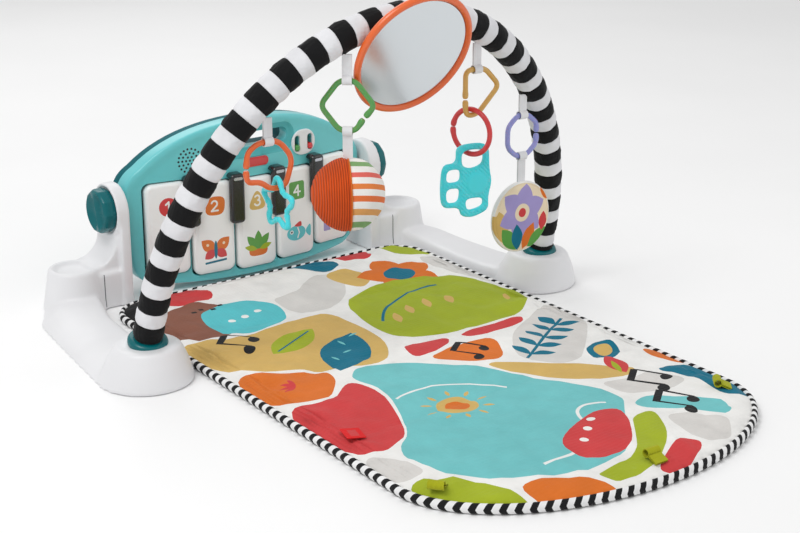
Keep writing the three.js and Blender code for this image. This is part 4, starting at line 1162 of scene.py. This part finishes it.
def make_keys():
    def crowned(flat, d):
        puff = (1 - (flat[:, 0] / 31) ** 2) * (1 - (flat[:, 1] / 64) ** 2)
        return rounded(5.5, 5.0)(flat, d) + 1.3 * np.clip(puff, 0, 1)

    for i in range(5):
        # The outer keys sink at an angle to their slots, so their inner sides stand back a little.
        cap = box_loop(-30.8 + 0.8 * (i == 4), 30.8 - 0.8 * (i == 0), -64, 64, 11, 8)
        put = beside((i - 2) * KEY_PITCH, KEY_Z)
        key = pillow(f"key_{i + 1}_cap", cap, put, crowned, level(-9.2), KEY_WHITE, (), key_print(i), 4.0,
                     (0.3, 0.9, 1.8, 3.0, 4.4, 5.8), 50)
        place(key, f"key_{i + 1}", "key_white", f"white_key_{i + 1}")

    def under(flat, d):
        return np.where(flat[:, 1] > 149.5, -0.6, 6.8)

    black = box_loop(-10.6, 10.6, 85, 155.4, 6, 8)
    # Painted highlight: a silver metal strip at the top of each black key, where the gloss catches the light.
    highlight_strip = [(box_loop(-6.5, 6.5, 146.5, 150.5, 1.8), KEY_GLINT_SILVER)]
    for i in range(4):
        put = beside((i - 1.5) * KEY_PITCH, 0)
        key = pillow(f"black_key_{i + 1}_cap", black, put, rounded(4.5, 14.6), under, BLACK, (), highlight_strip, 3.0,
                     (0.3, 0.9, 1.8, 3.0, 4.4), 50)
        place(key, "piano", "key_black", f"black_key_{i + 1}")


def make_switches():
    """The oval plate with its two sliders."""
    slots = [box_loop(x - 4.4, x + 4.4, 167.6, 190.4, 4.3, 6) for x, *_ in SWITCHES]
    plate = pillow("switch_oval_plate", box_loop(63, 103, 162, 198, 17.5, 8), on_panel, rounded(1.2, 1.6),
                   level(-1.6), WHITE, slots, (), 3, (0.3, 0.7, 1.2))
    place(plate, "piano", "white_plastic", "switch_plate")
    for x, body, color in SWITCHES:
        outline = box_loop(x - 3.5, x + 3.5, 169, 177, 2.6)
        material = {"green": GREEN, "red": RED}[color]
        cap = pillow(body + "_slider_cap", outline, on_panel, rounded(1.6, 3.4), level(-8), material, (), (),
                     1.6, (0.3, 0.8, 1.4))
        place(cap, body, color + "_plastic", body + "_slider")


# ---------------------------------------------------------------- mat
def mat_outline(inset, steps=64):
    """The mat's edge moved inwards: two round corners at the rear and a half oval in front."""
    w, r = MAT_HALF - inset, MAT_CORNER - inset
    rear = MAT_REAR - inset - r
    corners = oval(w - r, rear, r, r, 0, 12, 0, 90) + oval(r - w, rear, r, r, 0, 12, 90, 90)
    return corners + oval(0, MAT_FRONT, w, MAT_DEPTH - inset, 0, steps, 180, 180)


def mat_print():
    """Paper-cut patches with thin white gaps between them, as (outline, cloth)."""
    shapes = [
        # The rear edge and its corners.
        (blob((-238, 226), (-206, 232), (-190, 180), (-238, 150)), "black"),
        (blob((-196, 232), (-120, 232), (-105, 170), (-180, 160)), "coral"),
        (blob((-110, 232), (10, 232), (40, 180), (-20, 130), (-95, 160)), "white"),
        (blob((18, 232), (70, 232), (100, 185), (60, 160), (40, 185)), "petrol"),
        (blob((80, 232), (170, 232), (150, 180), (110, 185)), "coral"),
        (blob((178, 232), (238, 215), (238, 150), (190, 165)), "lime"),
        (blob((-236, 145), (-200, 150), (-150, 170), (-120, 140), (-150, 100), (-160, 30), (-236, 60)),
         "brown"),
        (blob((-60, 120), (-20, 120), (40, 165), (70, 140), (30, 70), (-25, 40), (-60, 60)), "grey"),
        (blob((195, 150), (238, 140), (238, 0), (205, 40)), "grey"),
        (blob((40, 150), (90, 170), (100, 110), (60, 80)), "tan"),
        # A five-petalled flower, and the green hill in front of it.
        *[(leaf(140, 105, 62, 46, a), "orange") for a in range(20, 380, 72)],
        (oval(140, 105, 24, 21, 20), "petrol"),
        (blob((-15, -60), (10, 55), (95, 92), (185, 75), (215, 10), (238, -60), (178, -110), (95, -118),
              (0, -100)), "lime"),
        (stroke(curve((10, -40), ((60, 40), (170, 40)), steps=14), 4), "petrol"),
        *[(leaf(40 + 32 * k, -22 + 24 * k - 6 * k * k, 34, 12, 250), "tan") for k in range(4)],
        (leaf(196, -62, 26, 10, 60), "tan"),
        # The cloud with its squares, over the tan field with a leaf.
        (blob((-178, 62), (-165, 128), (-95, 145), (-60, 100), (-75, 45), (-145, 22)), "aqua"),
        *[(box_loop(x, x + 7, y, y + 6, 0.5), "black")
          for x, y in ((-170, 128), (-156, 135), (-142, 128), (-128, 135))],
        *[(oval(-140 + 22 * a, 80 + 5 * a, 5, 5), "white") for a in range(3)],
        (blob((-236, 50), (-205, 40), (-165, 20), (-60, 38), (-20, 30), (-24, -100), (-60, -150),
              (-140, -125), (-165, -105), (-236, -60)), "tan"),
        (leaf(-160, -52, 96, 46, 28), "lime"),
        (stroke([(-150, -47), (-84, -12)], 2.5), "petrol"),
        # A pointed leaf with veins, and the patches round the lake.
        (leaf(-122, -140, 120, 62, 50), "petrol"),
        *[(leaf(-104 + 17 * k, -112 + 19 * k, 15, 4, 100 - 90 * (k % 2)), "turquoise") for k in range(4)],
        (blob((-236, -72), (-165, -115), (-135, -130), (-140, -160), (-178, -205), (-237, -180)), "orange"),
        *[(leaf(-190, -150, 20, 6, 90 + 36 * k), "coral") for k in range(4)],
        (blob((-15, -110), (50, -126), (30, -150), (-30, -165)), "coral"),
        (blob((60, -125), (170, -118), (160, -140), (70, -150)), "coral"),
        (blob((-20, -170), (35, -155), (95, -160), (60, -225), (20, -215)), "orange"),
        (blob((-237, -190), (-178, -212), (-132, -170), (-120, -225), (-160, -330), (-205, -352),
              (-238, -330)), "coral"),
        # The lake with two ripples and a sun.
        (blob((-125, -165), (-100, -140), (-50, -158), (10, -222), (55, -290), (95, -390), (60, -430),
              (0, -505), (-70, -512), (-150, -480), (-192, -425), (-200, -362), (-155, -325),
              (-115, -225)), "turquoise"),
        (stroke(curve((-95, -475), ((0, -480), (10, -420)), ((20, -370), (70, -400)), steps=14), 4), "white"),
        (stroke(curve((-120, -250), ((-60, -215), (20, -300)), steps=14), 3), "white"),
        (oval(-72, -300, 24, 24), "tan"), (oval(-72, -300, 14, 14), "orange"),
        *[(leaf(-72 + 28 * math.cos(a), -300 + 28 * math.sin(a), 14, 5, math.degrees(a)), "tan")
          for a in np.arange(10) * TAU / 10],
        # The spotted patch, and what lies to its right.
        (blob((-55, -445), (35, -402), (70, -420), (12, -498), (-50, -505)), "coral"),
        *[(oval(-22 + 20 * a, -455 + 17 * a, 5, 5), "white") for a in range(3)],
        (blob((20, -232), (45, -225), (170, -330), (150, -350), (95, -335)), "tan"),
        (blob((66, -235), (120, -160), (195, -120), (236, -90), (236, -170), (200, -215), (120, -290)),
         "grey"),
        (blob((186, -222), (238, -182), (238, -285), (205, -290)), "white"),
        (oval(175, -270, 26, 20, 30), "petrol"), (oval(176, -268, 16, 11, 30), "tan"),
        (leaf(168, -282, 62, 26, 250), "coral"), (leaf(160, -300, 40, 8, 245), "lime"),
        (blob((205, -300), (239, -290), (239, -350), (215, -345)), "orange"),
        (blob((180, -355), (200, -350), (239, -362), (239, -425), (222, -470), (190, -450), (205, -400)),
         "petrol"),
        (blob((95, -345), (150, -358), (170, -352), (190, -400), (150, -410), (100, -395)), "grey"),
        (blob((80, -420), (110, -405), (185, -460), (160, -500), (110, -450)), "turquoise"),
        # The front edge.
        (blob((-236, -345), (-205, -362), (-200, -420), (-238, -415)), "grey"),
        (blob((-238, -425), (-198, -430), (-160, -485), (-150, -540), (-225, -500)), "lime"),
        (blob((-150, -488), (-75, -520), (-55, -562), (-140, -552)), "orange"),
        (blob((-70, -520), (0, -513), (30, -480), (60, -440), (95, -440), (60, -500), (0, -540), (-50, -545)),
         "lime"),
        (blob((-5, -545), (62, -508), (85, -530), (20, -562)), "coral"),
        (blob((85, -470), (100, -460), (150, -500), (120, -535), (80, -525)), "grey"),
    ]
    # A fern with five pairs of leaves, and the music notes.
    for k in range(5):
        x, y = 92 + 23 * k, -232 + 15 * k
        shapes += [(leaf(x, y, 34, 14, 92), "petrol"), (leaf(x, y, 32, 13, -22), "petrol")]
    shapes.append((stroke([(80, -240), (205, -158)], 4), "petrol"))
    for x, y, size, turn in ((-176, 6, 52, 40), (38, -180, 46, 30), (150, -375, 52, 30), (128, -440, 52, 30)):
        shapes += note(x, y, size, turn, "black")
    return [(loop, CLOTH_PRINT[color]) for loop, color in shapes]


def wavy(flat, across, along, seed):
    """Smooth noise over flat points; across and along are its waves per millimetre."""
    return np.array([noise.noise(Vector((x * across, y * along, seed))) for x, y in flat])


def quilt_distances(flat):
    """How far each point lies from each stitched line."""
    return [np.abs(flat[:, 1] - y - QUILT_SLOPE * flat[:, 0]) for y in QUILTING]


def padded_heights(flat, d, outline, low=7.2, high=15.5):
    """Top of the padding over each point: a stitched cushion blown up by the cloth solver."""
    reach = 34
    roll = np.sqrt(np.clip(1 - (np.clip(reach - d, 0, reach) / reach) ** 2, 0, 1))
    height = low + (high - low) * roll
    waves = 0.5 * wavy(flat, 0.02, 0.02, 0) + 0.35 * wavy(flat, 0.055, 0.045, 7)
    folds = sum(np.exp(-((distance / 5.5) ** 2)) for distance in quilt_distances(flat))
    gathers = wavy(flat, 0.045, 0.045, 3) * np.exp(-d / 60)
    return height + roll * (4.0 * waves + 7.0 * gathers - 2.0 * folds) + swollen(flat, outline) * roll


def swollen(flat, outline):
    """How far a cloth pinned along its edge and its quilting lines rises over each point under pressure."""
    points, faces, _ = sheet(outline, [], [], 11.0, (7.0,))
    faces = [tuple(map(int, f)) for f in faces]
    skin = build("swelling", np.insert(points, 2, 0.0, axis=1), faces, [], None, 0)
    stitched = skin.vertex_groups.new(name="stitched")
    near_line = np.min(quilt_distances(points), 0) < 6
    held = np.where((edge_distance(points, [outline]) < 4) | near_line)[0]
    stitched.add([int(i) for i in held], 1.0, "REPLACE")
    solver = skin.modifiers.new("cloth", "CLOTH")
    settings = solver.settings
    settings.quality, settings.mass, settings.air_damping = 6, 0.3, 3
    settings.tension_stiffness = settings.compression_stiffness = 12
    settings.shear_stiffness, settings.bending_stiffness = 6, 0.4
    settings.use_pressure, settings.uniform_pressure_force = True, 3.0
    settings.vertex_group_mass = stitched.name
    settings.shrink_min = -0.025
    settings.effector_weights.gravity = 0.0
    solver.collision_settings.use_collision = False
    last_frame = 20
    solver.point_cache.frame_start, solver.point_cache.frame_end = 1, last_frame
    for number in range(1, last_frame + 1):
        bpy.context.scene.frame_set(number)
    settled = skin.evaluated_get(bpy.context.evaluated_depsgraph_get()).to_mesh()
    z = np.array([v.co.z for v in settled.vertices]) / MM
    tree = BVHTree.FromPolygons([(x, y, h) for (x, y), h in zip(points, z)], faces)
    bpy.data.objects.remove(skin)
    bpy.context.scene.frame_set(1)
    found = [tree.ray_cast(Vector((x, y, 500)), Vector((0, 0, -1)))[0] for x, y in flat]
    rise = np.abs([p.z if p else 0.0 for p in found])
    return 4.0 * np.clip(rise / max(float(np.percentile(rise, 96)), 1e-6), 0, 1.2)


def make_mat():
    outline = mat_outline(6)
    pad = pillow("printed_mat", outline, lambda u, v, h: np.stack([u, v, h], 1),
                 lambda flat, d: padded_heights(flat, d, outline), level(0.6), CLOTH_PRINT["white"], (),
                 mat_print(), 7.0, (1.5, 4.0, 8.0, 13.0, 20.0), 0)
    place(pad, "base", "mat_print", "mat_pad")


def make_binding():
    """Striped tape folded over the mat's edge."""
    loop = np.array(mat_outline(4.2, 200))
    closed = np.vstack([loop, loop[:1]])
    steps, sides, stripes = 900, 16, 155
    share = np.linspace(0, 1, steps, endpoint=False)
    path = np.insert(at_lengths(closed, share * run_length(closed)[-1]), 2, 6.0, axis=1)
    edging = tube("mat_edge_binding", path, 4.0, [BINDING], sides, True, 1.4, (0, 0, 1))
    attribute(edging, "along", np.repeat(share * stripes, sides))
    attribute(edging, "around", np.tile(np.abs(np.arange(sides) - sides // 2) / 14, steps))
    place(edging, "base", "striped_fabric", "mat_binding")


def make_tabs():
    """Three tape loops that stand up at the mat's front edge, and the blank sewn tag."""
    for name, x, y, turn in (("left", -208, -447, 130), ("front", 8, -541, 0), ("right", 214, -442, 50)):
        lay = spot(x, y, 16.5, turn) @ Matrix.Rotation(0.63 * math.pi, 4, "X")
        tab = sewn_loop(name + "_tape_loop", 17, lay, False, 17, 4.4, LIME_TAPE)
        place(tab, "base", "lime_tape", name + "_mat_loop")
    lay = spot(-213, -300, 19, 75) @ Matrix.Rotation(0.1, 4, "X")
    mark = [(box_loop(-8, 8, -5, 5, 1), CLOTH_PRINT["coral"])]
    tag = pillow("mat_blank_tag", box_loop(-13, 13, -11, 11, 1.5),
                 lambda u, v, h: moved(np.stack([u, v, h], 1), lay), rounded(0.4, 0.9), level(0), TAG_RED, (),
                 mark, 3, (0.3,))
    place(tag, "base", "mat_print")


# ---------------------------------------------------------------- the CAD pieces that stay
def finish_cad():
    """Looks for the parts inside, which keep their CAD shapes."""
    kept = {
        GREY: ["arch_connector", "speaker"],
        STEEL: ["left_knob_bolt", "right_knob_bolt", "left_arch_rod", "right_arch_rod", "door_screw",
                "battery_contacts"],
        plastic("board_green", "2a6a3a", 0.5): ["circuit_board"],
        plastic("pad_rubber", "3f4244", 0.8, 0.0): ["key_pad"],
        metal("cell_case", "9a8240", 0.35): ["battery_1", "battery_2", "battery_3"],
    }
    for material, names in kept.items():
        for name in names:
            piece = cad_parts[name]
            piece.data.materials.clear()
            piece.data.materials.append(material)
            bevel = piece.modifiers.new("soft edges", "BEVEL")
            bevel.width, bevel.segments, bevel.limit_method = 0.3 * MM, 2, "ANGLE"


# ---------------------------------------------------------------- studio
def make_stage():
    half, drop = 6000, -0.4
    corners = [(-half, -half, drop), (half, -half, drop), (half, half, drop), (-half, half, drop)]
    paper = Paint("studio_floor", "fcfcfc", 0.8).tint(0.01, 2).made
    build("floor", corners, [(0, 1, 2, 3)], [paper], None, 0)
    world = bpy.data.worlds.new("studio")
    bpy.context.scene.world = world
    world.use_nodes = True
    sky = world.node_tree.nodes["Background"].inputs
    sky["Color"].default_value = (1, 1, 1, 1)
    sky["Strength"].default_value = 0.62
    for name, stand, size, power in (
        ("key", (-1.5, -0.5, 2.3), 1.2, 27), ("fill", (1.9, -1.5, 1.5), 2.0, 7),
        ("rim", (0.4, 2.0, 1.9), 1.6, 12),
    ):
        light = bpy.data.lights.new(name, "AREA")
        light.size, light.energy = size, power
        lamp = show(name, light)
        lamp.location = stand
        aim = Vector((0, -0.1, 0.15)) - Vector(stand)
        lamp.rotation_euler = aim.to_track_quat("-Z", "Y").to_euler()
    bpy.context.scene.view_settings.view_transform = "Standard"
    camera = show("camera", bpy.data.cameras.new("camera"))
    camera.location = (-1.115, -1.636, 0.754)
    camera.rotation_euler = (math.pi / 2 - 0.327, 0, -0.625)
    camera.data.lens, camera.data.sensor_width = 74.2, 36
    bpy.context.scene.camera = camera


make_bases()
make_sleeve()
make_star()
make_ball()
make_teether()
make_disc()
make_mirror()
make_panel()
make_back()
make_keys()
make_switches()
make_mat()
make_binding()
make_tabs()
finish_cad()
make_stage()
